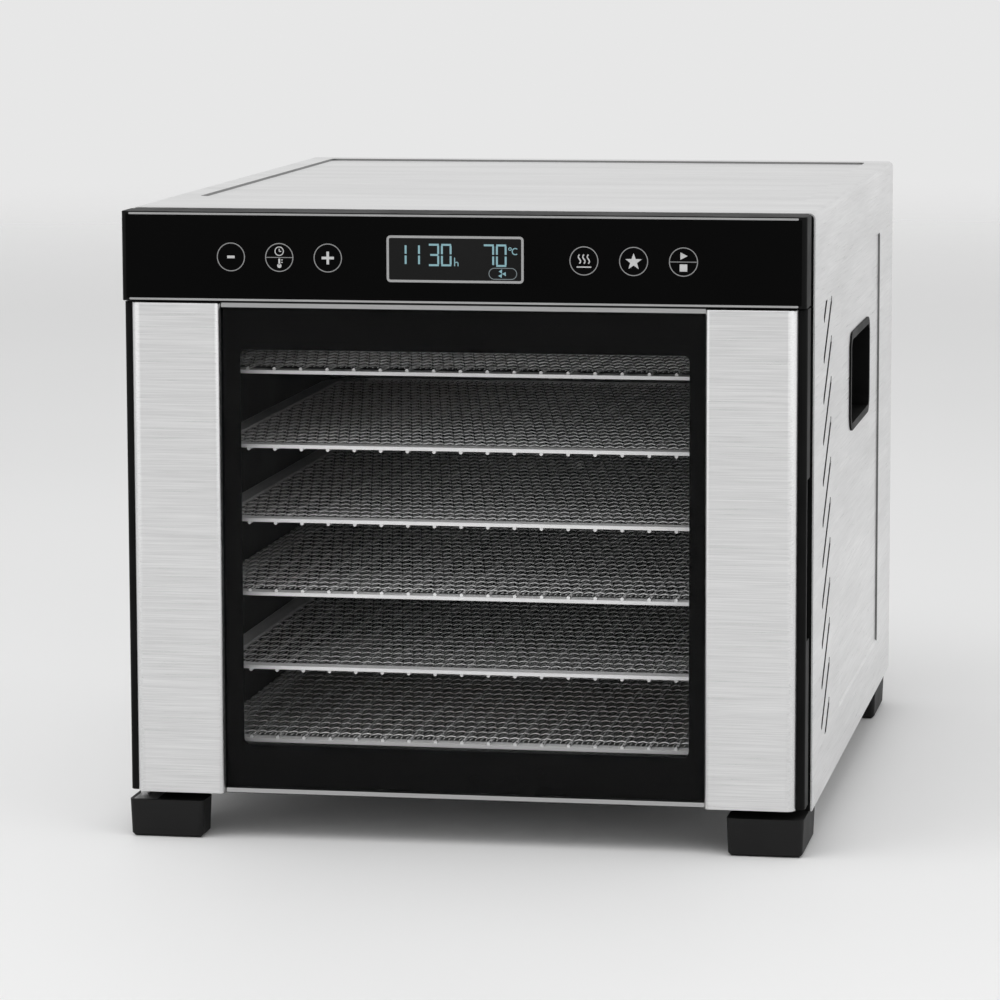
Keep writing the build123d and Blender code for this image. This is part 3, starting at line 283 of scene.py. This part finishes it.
def brushed_steel(name, dark, light, rough):
    """Steel sheet with its grain across the front and the top, and front to back on the sides."""
    made = finish(name, metallic=1.0)
    across = noise(made, (GRAIN_ALONG, GRAIN_ACROSS, GRAIN_ACROSS), 4.0)
    front_to_back = noise(made, (GRAIN_ACROSS, GRAIN_ALONG, GRAIN_ACROSS), 4.0)
    grain = along_sides(made, front_to_back, across)
    vary_colour(made, grain, grey(dark), grey(light))
    vary_roughness(made, grain, *rough)
    emboss(made, grain, 0.16, GRAIN_DEPTH)
    return made


def pressed_steel(name, dark, light, rough):
    """Brushed sheet with broad soft bands in its grain, and painted shade on the slopes of its pressings.

    On the top every slope is painted darker, and on the sides those that look forward.
    """
    made = brushed_steel(name, dark, light, rough)
    bands = noise(made, (BAND_ALONG, BAND_ACROSS, BAND_ACROSS), 3.0, 3.0)
    side_bands = noise(made, (BAND_ACROSS, BAND_ALONG, BAND_ACROSS), 3.0, 3.0)
    shaded(made, spread(made, along_sides(made, side_bands, bands), BAND_SHADE, 1.0))
    x, _, z = parts_of(made, "Object")
    forward = worked_out(made, "LESS_THAN", parts_of(made, "Normal")[1], SLOPE_FORWARD)
    shell_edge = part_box("outer_shell")[1]
    on_top = worked_out(made, "LESS_THAN", worked_out(made, "ABSOLUTE", x), shell_edge.x - BEND_REACH)
    under_top = worked_out(made, "LESS_THAN", z, shell_edge.z - BEND_REACH)
    on_side = worked_out(made, "MULTIPLY", under_top, forward)
    # painted shade: the slopes' colour is darkened to stand in for the dark reflection in the pressings
    slopes = worked_out(made, "MULTIPLY", lean(made), worked_out(made, "MAXIMUM", on_top, on_side))
    shaded(made, ramp(made, slopes, *SLOPE_LEAN, 1.0, SLOPE_PAINTED_SHADE))
    return made


def polished(name, level, rough, metallic=1.0):
    """Bright metal with faint drawing lines."""
    made = finish(name, metallic=metallic)
    lines = noise(made, (60.0, 1800.0, 1800.0), 3.0)
    vary_colour(made, lines, grey(level * 0.92), grey(level))
    vary_roughness(made, lines, *rough)
    return made


def rack_strip(name):
    """Bright flat strip whose round wires are painted darker, as painted shade."""
    made = polished(name, 0.98, (0.28, 0.38), 0.1)
    # painted shade on the round wires
    shaded(made, ramp(made, lean(made), *STRIP_LEAN, 1.0, WIRE_PAINTED_SHADE))
    return made


def moulded(name, low, high, rough, cycles, strength, specular=0.5):
    """Moulded plastic or rubber with a fine even texture."""
    made = finish(name, specular_ior_level=specular)
    texture = even_noise(made, cycles)
    clouds = even_noise(made, 35.0, offset=4.0)
    vary_colour(made, clouds, grey(low), grey(high))
    vary_roughness(made, clouds, *rough)
    emboss(made, texture, strength, 0.0001)
    return made


def coated(name, low, high, rough, metallic=0.0):
    """Painted or plated sheet: an even film with slight clouds and a little orange peel."""
    made = finish(name, metallic=metallic)
    peel = even_noise(made, 900.0, 3.0)
    clouds = even_noise(made, 22.0, 3.0, 7.0)
    vary_colour(made, clouds, low, high)
    vary_roughness(made, clouds, *rough)
    emboss(made, peel, 0.08, 0.00008)
    return made


def glossy_black(name, level, specular):
    """Glass printed black on its back: deep, flat and faintly uneven in its print."""
    made = finish(name, specular_ior_level=specular)
    cloud = even_noise(made, 14.0, offset=2.0)
    vary_colour(made, cloud, grey(level * 0.7), grey(level))
    vary_roughness(made, cloud, 0.03, 0.06)
    return made


def window_glass(name):
    """Clear pane with a slight grey tint and a faint unevenness in its polish."""
    made = finish(name, alpha=PANE_ALPHA, specular_ior_level=0.5)
    cloud = even_noise(made, 9.0, 1.0)
    vary_colour(made, cloud, grey(0.004), grey(0.008))
    vary_roughness(made, cloud, 0.0, 0.015)
    return made


def circuit_laminate(name):
    """Green lacquer over a fine glass weave."""
    made = finish(name)
    weave = even_noise(made, 900.0, 1.0)
    vary_colour(made, weave, (0.012, 0.07, 0.03, 1.0), (0.02, 0.11, 0.045, 1.0))
    vary_roughness(made, weave, 0.3, 0.45)
    return made


def printed(name, level, glow, tint=(1.0, 1.0, 1.0)):
    """Marks behind the panel's glass: print with a faint painted glow, and lit segments."""
    made = finish(name, roughness=0.5, emission_color=grey(1.0, tint), emission_strength=glow)
    vary_colour(made, even_noise(made, 500.0), grey(level * 0.8, tint), grey(level, tint))
    return made


SCALE_DARK = (0.2, 0.17, 0.15, 1.0)  # heat-darkened steel
SCALE_LIGHT = (0.34, 0.31, 0.29, 1.0)
finishes = {
    "brushed_case": brushed_steel("brushed_case", 0.62, 0.77, (0.27, 0.4)),
    "rear_sheet": coated("rear_sheet", grey(0.44), grey(0.52), (0.38, 0.5), 1.0),
    "inner_sheet": coated("inner_sheet", grey(0.022), grey(0.034), (0.4, 0.55)),
    "bracket_steel": coated("bracket_steel", grey(0.42), grey(0.5), (0.35, 0.5), 1.0),
    "black_plastic": moulded("black_plastic", 0.003, 0.006, (0.42, 0.52), 2600.0, 0.06, 0.06),
    "foot_plastic": moulded("foot_plastic", 0.005, 0.008, (0.5, 0.62), 1800.0, 0.25, 0.2),
    "black_glass": glossy_black("black_glass", 0.0015, 0.04),
    "clear_glass": window_glass("clear_glass"),
    "bright_trim": polished("bright_trim", 0.44, (0.16, 0.28)),
    "display": glossy_black("display", 0.008, 0.12),
    "circuit_board": circuit_laminate("circuit_board"),
    "pad_foam": moulded("pad_foam", 0.04, 0.06, (0.75, 0.9), 1500.0, 0.5),
    "seal_rubber": moulded("seal_rubber", 0.02, 0.03, (0.6, 0.7), 1200.0, 0.15),
    "rack_steel": rack_strip("rack_steel"),
    "tray_steel": brushed_steel("tray_steel", 0.5, 0.62, (0.3, 0.42)),
    "fixing_steel": coated("fixing_steel", grey(0.5), grey(0.6), (0.25, 0.4), 1.0),
    "fan_aluminium": coated("fan_aluminium", grey(0.62), grey(0.72), (0.3, 0.42), 1.0),
    "motor_paint": coated("motor_paint", grey(0.09), grey(0.13), (0.4, 0.5)),
    "heater_sheath": coated("heater_sheath", SCALE_DARK, SCALE_LIGHT, (0.45, 0.6), 1.0),
}
FEET = ("foot_front_left", "foot_front_right", "foot_rear_left", "foot_rear_right")
slot_nodes = {
    "brushed_case": ("outer_shell", "door_post_left", "door_post_right"),
    "rear_sheet": ("rear_panel", "base_pan"),
    "inner_sheet": (
        "chamber_left_wall",
        "chamber_right_wall",
        "chamber_top",
        "chamber_floor",
        "air_baffle",
        "air_partition",
        "rack_runners_left",
        "rack_runners_right",
    ),
    "bracket_steel": ("hinge_bracket", "motor_bracket"),
    "black_plastic": (
        "front_frame",
        "control_housing",
        "door_frame",
        "handle_cup_left",
        "handle_cup_right",
        "cord_gland",
    ),
    "foot_plastic": FEET,
    "black_glass": ("control_glass",),
    "clear_glass": ("door_glass",),
    "bright_trim": ("glass_trim", "panel_trim", "display_frame"),
    "display": ("display_module",),
    "circuit_board": ("control_board", "power_board"),
    "pad_foam": ("touch_pads",),
    "seal_rubber": ("door_seal",),
    "rack_steel": tuple(f"rack_{n}_{part}" for n in RACKS for part in ("frame", "mesh")),
    "tray_steel": ("drip_tray",),
    "fixing_steel": ("rear_screws", "foot_screws", "hinge_pins", "fan_shaft", "fan_nut", "door_magnets"),
    "fan_aluminium": ("fan_impeller",),
    "motor_paint": ("fan_motor",),
    "heater_sheath": ("heater_coil", "thermal_cutout", "temperature_sensor"),
}


def dress_nodes():
    """Puts each slot's finish on its nodes. The shell has the same steel, with pressings, in a copy painted
    lighter than the posts' to stand in for the light it catches.
    """
    for slot, members in slot_nodes.items():
        for member in members:
            nodes[member].data.materials.clear()
            nodes[member].data.materials.append(finishes[slot])
    # painted light: the shell's steel is given a lighter colour than the posts' same steel
    nodes["outer_shell"].data.materials[0] = pressed_steel("pressed_case_painted_light_and_shade", 0.74, 0.92, (0.27, 0.4))


def soften(name, width):
    """Rounds a CAD node's sharp edges a little, so that they catch the light."""
    piece = nodes[name]
    weld = piece.modifiers.new("weld", "WELD")
    weld.merge_threshold = WELD_REACH
    flat = piece.modifiers.new("flat", "DECIMATE")
    flat.decimate_type = "DISSOLVE"
    flat.angle_limit = math.radians(FLAT_ANGLE)
    bevel = piece.modifiers.new("bevel", "BEVEL")
    bevel.width = width
    bevel.segments = EDGE_STEPS
    bevel.limit_method = "ANGLE"
    bevel.angle_limit = math.radians(EDGE_ANGLE)


# ------------------------------------------------------------------------------------ mesh helpers


def placed(name, data):
    """Object with this mesh, lamp or camera, in the scene."""
    made = bpy.data.objects.new(name, data)
    bpy.context.scene.collection.objects.link(made)
    return made


def bmesh_piece(name, shape, material):
    mesh = bpy.data.meshes.new(name)
    bmesh.ops.recalc_face_normals(shape, faces=shape.faces)
    shape.to_mesh(mesh)
    shape.free()
    mesh.materials.append(material)
    return placed(name, mesh)


def prism(shape, outline, near, far):
    """Adds the outline of (x, z) points to the bmesh, extruded from y = near to y = far."""
    front = [shape.verts.new((x, near, z)) for x, z in outline]
    back = [shape.verts.new((x, far, z)) for x, z in outline]
    shape.faces.new(front)
    shape.faces.new(list(reversed(back)))
    wall(shape, front, back)


def wall(shape, near, far):
    """Adds the faces between two closed loops with as many points each."""
    for i in range(len(near)):
        j = (i + 1) % len(near)
        shape.faces.new((near[j], near[i], far[i], far[j]))


def rounded_loop(low, high, radius, steps=8):
    """Corner-rounded rectangle as (x, z) points, anticlockwise, from its low and high corners."""
    points = []
    corners = (
        (high[0] - radius, high[1] - radius, 0),
        (low[0] + radius, high[1] - radius, 90),
        (low[0] + radius, low[1] + radius, 180),
        (high[0] - radius, low[1] + radius, 270),
    )
    for x, z, start in corners:
        for step in range(steps + 1):
            turn = math.radians(start + 90 * step / steps)
            points.append((x + radius * math.cos(turn), z + radius * math.sin(turn)))
    return points


# ------------------------------------------------------------------------------------ rack weave


def weave_reach(x, half_width, half_depth, radius):
    """Half length, at x, of a rectangle with rounded corners."""
    inset = abs(x) - (half_width - radius)
    if inset <= 0:
        return half_depth
    return half_depth - radius + math.sqrt(max(radius * radius - inset * inset, 0.0))


def wire_tube(points, faces, line, radius, across):
    """Square tube along the line of points, turned on edge, whose section lies in across and z."""
    first = len(points)
    for x, y, z in line:
        for side, up in ((radius, 0.0), (0.0, radius), (-radius, 0.0), (0.0, -radius)):
            points.append((x + side * across[0], y + side * across[1], z + up))
    for step in range(len(line) - 1):
        for edge in range(4):
            a = first + 4 * step + edge
            b = first + 4 * step + (edge + 1) % 4
            faces.append((a, b, b + 4, a + 4))
    last = first + 4 * (len(line) - 1)
    faces.append((first + 3, first + 2, first + 1, first))
    faces.append((last, last + 1, last + 2, last + 3))


def depth_wires(points, faces, half_width, half_depth):
    """Wires that run front to back, over one cross wire and under the next."""
    radius, corner = WIRE_MM * MM / 2, WEAVE_CORNER_MM * MM
    pitch_x, pitch_y = DEPTH_PITCH_MM * MM, CROSS_PITCH_MM * MM
    count_x, count_y = int(half_width / pitch_x), int(half_depth / pitch_y)
    for i in range(-count_x, count_x + 1):
        x = i * pitch_x
        reach = weave_reach(x, half_width, half_depth, corner)
        crossings = [j for j in range(-count_y, count_y + 1) if abs(j * pitch_y) < reach - radius]
        line = [(x, j * pitch_y, radius * (1 if (i + j) % 2 else -1)) for j in crossings]
        wire_tube(points, faces, [(x, -reach, 0.0), *line, (x, reach, 0.0)], radius, (1.0, 0.0))


def cross_wires(points, faces, half_width, half_depth):
    """Wires that run left to right, over one depth wire and under the next."""
    radius, corner = WIRE_MM * MM / 2, WEAVE_CORNER_MM * MM
    pitch_x, pitch_y = DEPTH_PITCH_MM * MM, CROSS_PITCH_MM * MM
    count_y = int(half_depth / pitch_y)
    for j in range(-count_y, count_y + 1):
        y = j * pitch_y
        reach = weave_reach(y, half_depth, half_width, corner)
        halves = int(2 * (reach - radius) / pitch_x)
        line = []
        for h in range(-halves, halves + 1):
            height = 0.0
            if h % 2 == 0:
                height = -radius * (1 if (h // 2 + j) % 2 else -1)
            line.append((h * pitch_x / 2, y, height))
        wire_tube(points, faces, [(-reach, y, 0.0), *line, (reach, y, 0.0)], radius, (0.0, 1.0))


def weave_mesh(half_width, half_depth):
    """Plain weave round the origin, whose depth wires are painted darker than its cross wires, as painted
    shade.
    """
    points, faces = [], []
    depth_wires(points, faces, half_width, half_depth)
    depth_faces = len(faces)
    cross_wires(points, faces, half_width, half_depth)
    made = bpy.data.meshes.new("rack_weave")
    made.from_pydata(points, [], faces)
    made.materials.append(polished("weave_steel", 0.98, (0.24, 0.34), 0.45))
    # painted shade: the depth wires get a darker copy of the weave's steel
    made.materials.append(polished("weave_steel_painted_shade", 0.6, (0.3, 0.4), 0.5))
    made.polygons.foreach_set("material_index", [1 if i < depth_faces else 0 for i in range(len(faces))])
    made.polygons.foreach_set("use_smooth", [True] * len(made.polygons))
    return made


def rack_weaves():
    low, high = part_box("rack_1_mesh")
    shared = weave_mesh((high.x - low.x) / 2 - WEAVE_MARGIN, (high.y - low.y) / 2 - WEAVE_MARGIN)
    for number in RACKS:
        low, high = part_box(f"rack_{number}_mesh")
        weave = placed(f"rack_{number}_weave", shared)
        weave.location = (low + high) / 2
        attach(weave, f"rack_{number}")
        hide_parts(f"rack_{number}_mesh")


# ------------------------------------------------------------------------------------ door glass


def door_pane():
    """Clear pane with chamfered edges, which ends where the print on its back begins."""
    low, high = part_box("door_glass")
    shape = bmesh.new()
    back = high.y - PRINT_T
    levels = (
        (PANE_CHAMFER, low.y),
        (0.0, low.y + PANE_CHAMFER),
        (0.0, back - PANE_CHAMFER),
        (PANE_CHAMFER, back),
    )
    loops = []
    for inset, y in levels:
        corners = (
            (low.x + inset, low.z + inset),
            (high.x - inset, low.z + inset),
            (high.x - inset, high.z - inset),
            (low.x + inset, high.z - inset),
        )
        loops.append([shape.verts.new((x, y, z)) for x, z in corners])
    shape.faces.new(loops[0])
    shape.faces.new(list(reversed(loops[-1])))
    for near, far in zip(loops, loops[1:]):
        wall(shape, near, far)
    pane = bmesh_piece("door_pane", shape, finishes["clear_glass"])
    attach(pane, "door")
    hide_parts("door_glass")


def door_print():
    """Black border on the back of the pane, with a round-cornered window in it."""
    low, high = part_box("door_glass")
    window = rounded_loop(
        (low.x + PRINT_SIDE, low.z + PRINT_LOW),
        (high.x - PRINT_SIDE, high.z - PRINT_TOP),
        WINDOW_R,
    )
    corners = (
        (high.x - PANE_CHAMFER, high.z - PANE_CHAMFER),
        (low.x + PANE_CHAMFER, high.z - PANE_CHAMFER),
        (low.x + PANE_CHAMFER, low.z + PANE_CHAMFER),
        (high.x - PANE_CHAMFER, low.z + PANE_CHAMFER),
    )
    shape = bmesh.new()
    per_corner = len(window) // 4
    rings = []
    for depth in (high.y - PRINT_T + PRINT_GAP, high.y):
        inside = [shape.verts.new((x, depth, z)) for x, z in window]
        outside = [shape.verts.new((x, depth, z)) for x, z in corners]
        rings.append((inside, outside))
        for c in range(4):
            arc = inside[c * per_corner : (c + 1) * per_corner]
            following = inside[(c + 1) * per_corner % len(inside)]
            for first, second in zip(arc, arc[1:]):
                shape.faces.new((outside[c], second, first))
            shape.faces.new((outside[c], outside[(c + 1) % 4], following, arc[-1]))
    for near, far in zip(*rings):
        wall(shape, near, far)
    border = bmesh_piece("door_glass_print", shape, finishes["black_glass"])
    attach(border, "door")


# ------------------------------------------------------------------------------------ panel marks


def arc_points(x, z, radius, turns):
    return [(x + radius * math.cos(t), z + radius * math.sin(t)) for t in turns]


def arc_line(x, z, radius, line, start=0.0, end=360.0):
    """Outlines, in millimetres, of a thin ring or part of one, in pieces of at most a third of a turn."""
    outlines = []
    parts = max(1, math.ceil((end - start) / 120))
    for part in range(parts):
        first = start + (end - start) * part / parts
        last = start + (end - start) * (part + 1) / parts
        steps = max(3, math.ceil((last - first) / 6))
        turns = [math.radians(first + (last - first) * s / steps) for s in range(steps + 1)]
        outside = arc_points(x, z, radius + line / 2, turns)
        inside = arc_points(x, z, radius - line / 2, turns)
        outlines.append(outside + inside[::-1])
    return outlines


def bar(x, z, width, height):
    return [
        (x - width / 2, z - height / 2),
        (x + width / 2, z - height / 2),
        (x + width / 2, z + height / 2),
        (x - width / 2, z + height / 2),
    ]


def disc(x, z, radius, steps=20):
    return arc_points(x, z, radius, [2 * math.pi * s / steps for s in range(steps)])


def stroke(points, width):
    """Outlines of a thin line through the points, one bar per run."""
    outlines = []
    for (x0, z0), (x1, z1) in zip(points, points[1:]):
        run = math.hypot(x1 - x0, z1 - z0)
        nx, nz = -(z1 - z0) / run * width / 2, (x1 - x0) / run * width / 2
        outlines.append([(x0 + nx, z0 + nz), (x0 - nx, z0 - nz), (x1 - nx, z1 - nz), (x1 + nx, z1 + nz)])
    return outlines


def minus_mark(x, z):
    return [bar(x, z, MINUS_W_MM, BOLD_MM)]


def plus_mark(x, z):
    """One full bar and a stub on each side of it, so that no two shapes overlap."""
    rise = (BOLD_MM + PLUS_STUB_MM) / 2
    stubs = [bar(x, z + side * rise, BOLD_MM, PLUS_STUB_MM) for side in (1, -1)]
    return [bar(x, z, PLUS_W_MM, BOLD_MM)] + stubs


def time_and_heat_mark(x, z):
    """A clock over a thermometer with two graduations."""
    clock = arc_line(x, z + 3.1, 2.1, KEY_LINE_MM)
    hands = stroke([(x, z + 4.3), (x, z + 3.0), (x + 1.0, z + 3.0)], KEY_LINE_MM)
    thermometer = [disc(x, z - 4.1, 1.1), bar(x, z - 2.2, 0.9, 3.2)]
    graduations = [bar(x + 1.3, z - drop, 0.9, 0.4) for drop in (1.2, 2.4)]
    return clock + hands + thermometer + graduations


def heat_mark(x, z):
    """Three rising waves over a line."""
    outlines = []
    steps, sway, rise = 12, 0.55, 4.4
    for offset in (-2.2, 0.0, 2.2):
        wave = []
        for s in range(steps + 1):
            turn = 2 * math.pi * s / steps
            wave.append((x + offset + sway * math.sin(turn), z - 1.3 + rise * s / steps))
        outlines += stroke(wave, 0.65)
    return outlines + [bar(x, z - 3.0, 7.2, 0.6)]


def star_mark(x, z):
    points = []
    for k in range(10):
        turn = math.radians(90 + 36 * k)
        radius = 4.3 if k % 2 == 0 else 1.75
        points += arc_points(x, z - 0.2, radius, [turn])
    return [points]


def run_mark(x, z):
    """A start triangle over a stop square."""
    return [[(x - 1.5, z + 1.1), (x + 2.0, z + 2.9), (x - 1.5, z + 4.7)], bar(x, z - 2.9, 3.7, 3.5)]


# the marks of the keys from left to right, on each side of the display
LEFT_MARKS = (minus_mark, time_and_heat_mark, plus_mark)
RIGHT_MARKS = (heat_mark, star_mark, run_mark)
SPLIT_MARKS = (time_and_heat_mark, run_mark)  # keys that a line splits into two halves


def key_outlines(z):
    """The symbols of all six keys, and their rings with the lines that split two of them."""
    symbols, rings, splits = [], [], []
    for start, row in ((LEFT_KEYS_MM, LEFT_MARKS), (RIGHT_KEYS_MM, RIGHT_MARKS)):
        for place, mark in enumerate(row):
            x = start + place * KEY_PITCH_MM
            symbols += mark(x, z)
            rings += arc_line(x, z, KEY_RING_R_MM, KEY_LINE_MM)
            if mark in SPLIT_MARKS:
                splits.append(bar(x, z, 2 * KEY_RING_R_MM - KEY_LINE_MM, KEY_SPLIT_MM))
    return symbols, rings + splits


def digit(figure, x, z):
    """Lit segments of one figure whose lower left corner is at x, z."""
    w, h, t = DIGIT_W_MM, DIGIT_H_MM, SEGMENT_MM
    upright = h / 2 - t - 2 * SEGMENT_GAP_MM
    flat = w - 2 * SEGMENT_GAP_MM
    lower, upper = z + h / 4 + t / 4, z + h * 3 / 4 - t / 4
    places = {
        "t": (x + w / 2, z + h - t / 2, flat, t),
        "m": (x + w / 2 + 0.2, z + h / 2, flat - t, t),
        "b": (x + w / 2, z + t / 2, flat, t),
        "p": (x + w - t / 2, upper, t, upright),
        "q": (x + w - t / 2, lower, t, upright),
        "r": (x + t / 2, lower, t, upright),
        "s": (x + t / 2, upper, t, upright),
    }
    return [bar(*places[segment]) for segment in DIGITS[figure]]


def display_outlines(x, z):
    """Time and temperature on the display, from its middle x and z."""
    outlines = []
    for figure, left in FIGURES_MM:
        outlines += digit(figure, x + left, z - DIGIT_DROP_MM)
    hour = x - 0.2
    arch = [(hour, z - 1.6), (hour + 1.4, z - 1.3), (hour + 1.7, z - 1.9), (hour + 1.7, z - 3.3)]
    outlines += [bar(hour, z - 1.2, LETTER_MM, 4.2)] + stroke(arch, LETTER_MM)
    degree = x + 27.4
    outlines += arc_line(degree, z + 5.4, 0.65, 0.4)
    outlines += arc_line(degree + 2.6, z + 4.2, 1.5, LETTER_MM, 50, 310)
    return outlines


def fan_mark(x, z):
    """Three blades round one point."""
    outlines = []
    for turn in (90, 210, 330):
        tip = arc_points(x, z, 2.2, [math.radians(turn)])
        heel = arc_points(x, z, 2.0, [math.radians(turn + 55)])
        outlines.append([(x, z)] + tip + heel)
    return outlines


def pill_mark(x, z):
    half = PILL_W_MM / 2
    ends = arc_line(x - half, z, PILL_R_MM, PILL_LINE_MM, 90, 270)
    ends += arc_line(x + half, z, PILL_R_MM, PILL_LINE_MM, -90, 90)
    return ends + [bar(x, z + side * PILL_R_MM, PILL_W_MM, PILL_LINE_MM) for side in (1, -1)]


def marks(name, outlines, material):
    """Thin printed shapes on the face of the control panel."""
    shape = bmesh.new()
    near, far = (MARK_FACE_MM - MARK_T_MM) * MM, MARK_FACE_MM * MM
    for outline in outlines:
        prism(shape, [(x * MM, z * MM) for x, z in outline], near, far)
    made = bmesh_piece(name, shape, material)
    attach(made, "cabinet")


def panel_marks():
    low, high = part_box("control_glass")
    symbols, rings = key_outlines((low.z + high.z) / 2 / MM)
    # the key and ring print get a faint painted glow
    marks("key_symbols", symbols, printed("key_print_painted_glow", 0.45, 0.07))
    marks("key_rings", rings, printed("ring_print_painted_glow", 0.22, 0.03))
    low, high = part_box("display_frame")
    x, z = (low.x + high.x) / 2 / MM, (low.z + high.z) / 2 / MM
    lit = printed("lit_segments", 0.25, 0.2, (0.5, 0.9, 1.0))
    dim = printed("dim_segments", 0.1, 0.12, (0.8, 0.95, 1.0))
    marks("display_figures", display_outlines(x, z), lit)
    marks("display_ring", pill_mark(x + PILL_X_MM, z - PILL_DROP_MM), dim)
    marks("display_fan", fan_mark(x + FAN_X_MM, z - PILL_DROP_MM), lit)


# ------------------------------------------------------------------------------------ studio


def background_rays(world):
    """1 for the rays that show the surroundings: straight, mirrored or through glass."""
    path = world.node_tree.nodes.new("ShaderNodeLightPath").outputs
    bent = worked_out(world, "MAXIMUM", path["Is Glossy Ray"], path["Is Transmission Ray"])
    return worked_out(world, "MAXIMUM", bent, path["Is Camera Ray"])


def studio_world():
    """Pale surroundings that darken towards the zenith."""
    world = bpy.data.worlds.new("studio_world")
    world.use_nodes = True
    tree = world.node_tree
    background = tree.nodes["Background"]
    height = ramp(world, parts_of(world, "Generated")[2], *WORLD_RISE, 0.0, 1.0, "SMOOTHSTEP")
    shade = mixed(world, height, grey(WORLD_HORIZON), grey(WORLD_ZENITH))
    light = ramp(world, background_rays(world), 0.0, 1.0, WORLD_LIGHT, 1.0)
    tree.links.new(shade, background.inputs["Color"])
    tree.links.new(light, background.inputs["Strength"])
    bpy.context.scene.world = world


def floor_finish():
    """Soft clouds in a pale tone, which fade into the surroundings far from the object."""
    made = finish("studio_floor")
    tree = made.node_tree
    cloud = even_noise(made, 1.2, 3.0)
    vary_colour(made, cloud, grey(FLOOR_TONE * 0.97), grey(FLOOR_TONE))
    vary_roughness(made, cloud, 0.5, 0.65)
    place = tree.nodes.new("ShaderNodeTexCoord")
    length = tree.nodes.new("ShaderNodeVectorMath")
    length.operation = "LENGTH"
    tree.links.new(place.outputs["Object"], length.inputs[0])
    fade = ramp(made, length.outputs["Value"], *FLOOR_FADE, 0.0, 1.0, "SMOOTHSTEP")
    clear = tree.nodes.new("ShaderNodeBsdfTransparent")
    blend = tree.nodes.new("ShaderNodeMixShader")
    tree.links.new(fade, blend.inputs["Fac"])
    tree.links.new(shader(made).outputs["BSDF"], blend.inputs[1])
    tree.links.new(clear.outputs["BSDF"], blend.inputs[2])
    tree.links.new(blend.outputs["Shader"], tree.nodes["Material Output"].inputs["Surface"])
    return made


def studio_floor():
    turns = [2 * math.pi * s / FLOOR_EDGES for s in range(FLOOR_EDGES)]
    rim = [(x, y, -FLOOR_DROP) for x, y in arc_points(0.0, 0.0, FLOOR_FADE[1], turns)]
    faces = [(0, s + 1, (s + 1) % FLOOR_EDGES + 1) for s in range(FLOOR_EDGES)]
    mesh = bpy.data.meshes.new("studio_floor")
    mesh.from_pydata([(0.0, 0.0, -FLOOR_DROP)] + rim, [], faces)
    mesh.materials.append(floor_finish())
    placed("studio_floor", mesh)


def softbox(name, place, aim, size, power):
    lamp = bpy.data.lights.new(name, "AREA")
    lamp.shape = "RECTANGLE"
    lamp.size, lamp.size_y = size
    lamp.energy = power
    made = placed(name, lamp)
    made.location = place
    made.rotation_euler = (Vector(aim) - Vector(place)).to_track_quat("-Z", "Y").to_euler()


def camera():
    lens = bpy.data.cameras.new("camera")
    lens.lens = LENS_MM
    lens.sensor_width = SENSOR_MM
    lens.clip_start, lens.clip_end = CLIP
    made = placed("camera", lens)
    turn = Matrix.Rotation(math.radians(CAMERA_YAW), 4, "Z")
    tilt = Matrix.Rotation(math.radians(90 - CAMERA_TILT), 4, "X")
    roll = Matrix.Rotation(math.radians(CAMERA_ROLL), 4, "Z")
    made.matrix_world = Matrix.Translation(CAMERA_PLACE) @ turn @ tilt @ roll
    bpy.context.scene.camera = made


dress_nodes()
rack_weaves()
door_pane()
door_print()
panel_marks()
for member in ("door_frame", "door_post_left", "door_post_right", "control_housing"):
    soften(member, PANEL_EDGE)
for member in FEET:
    soften(member, FOOT_EDGE)

studio_floor()
studio_world()
for lamp in LAMPS:
    softbox(*lamp)
camera()
bpy.context.scene.view_settings.view_transform = "Standard"
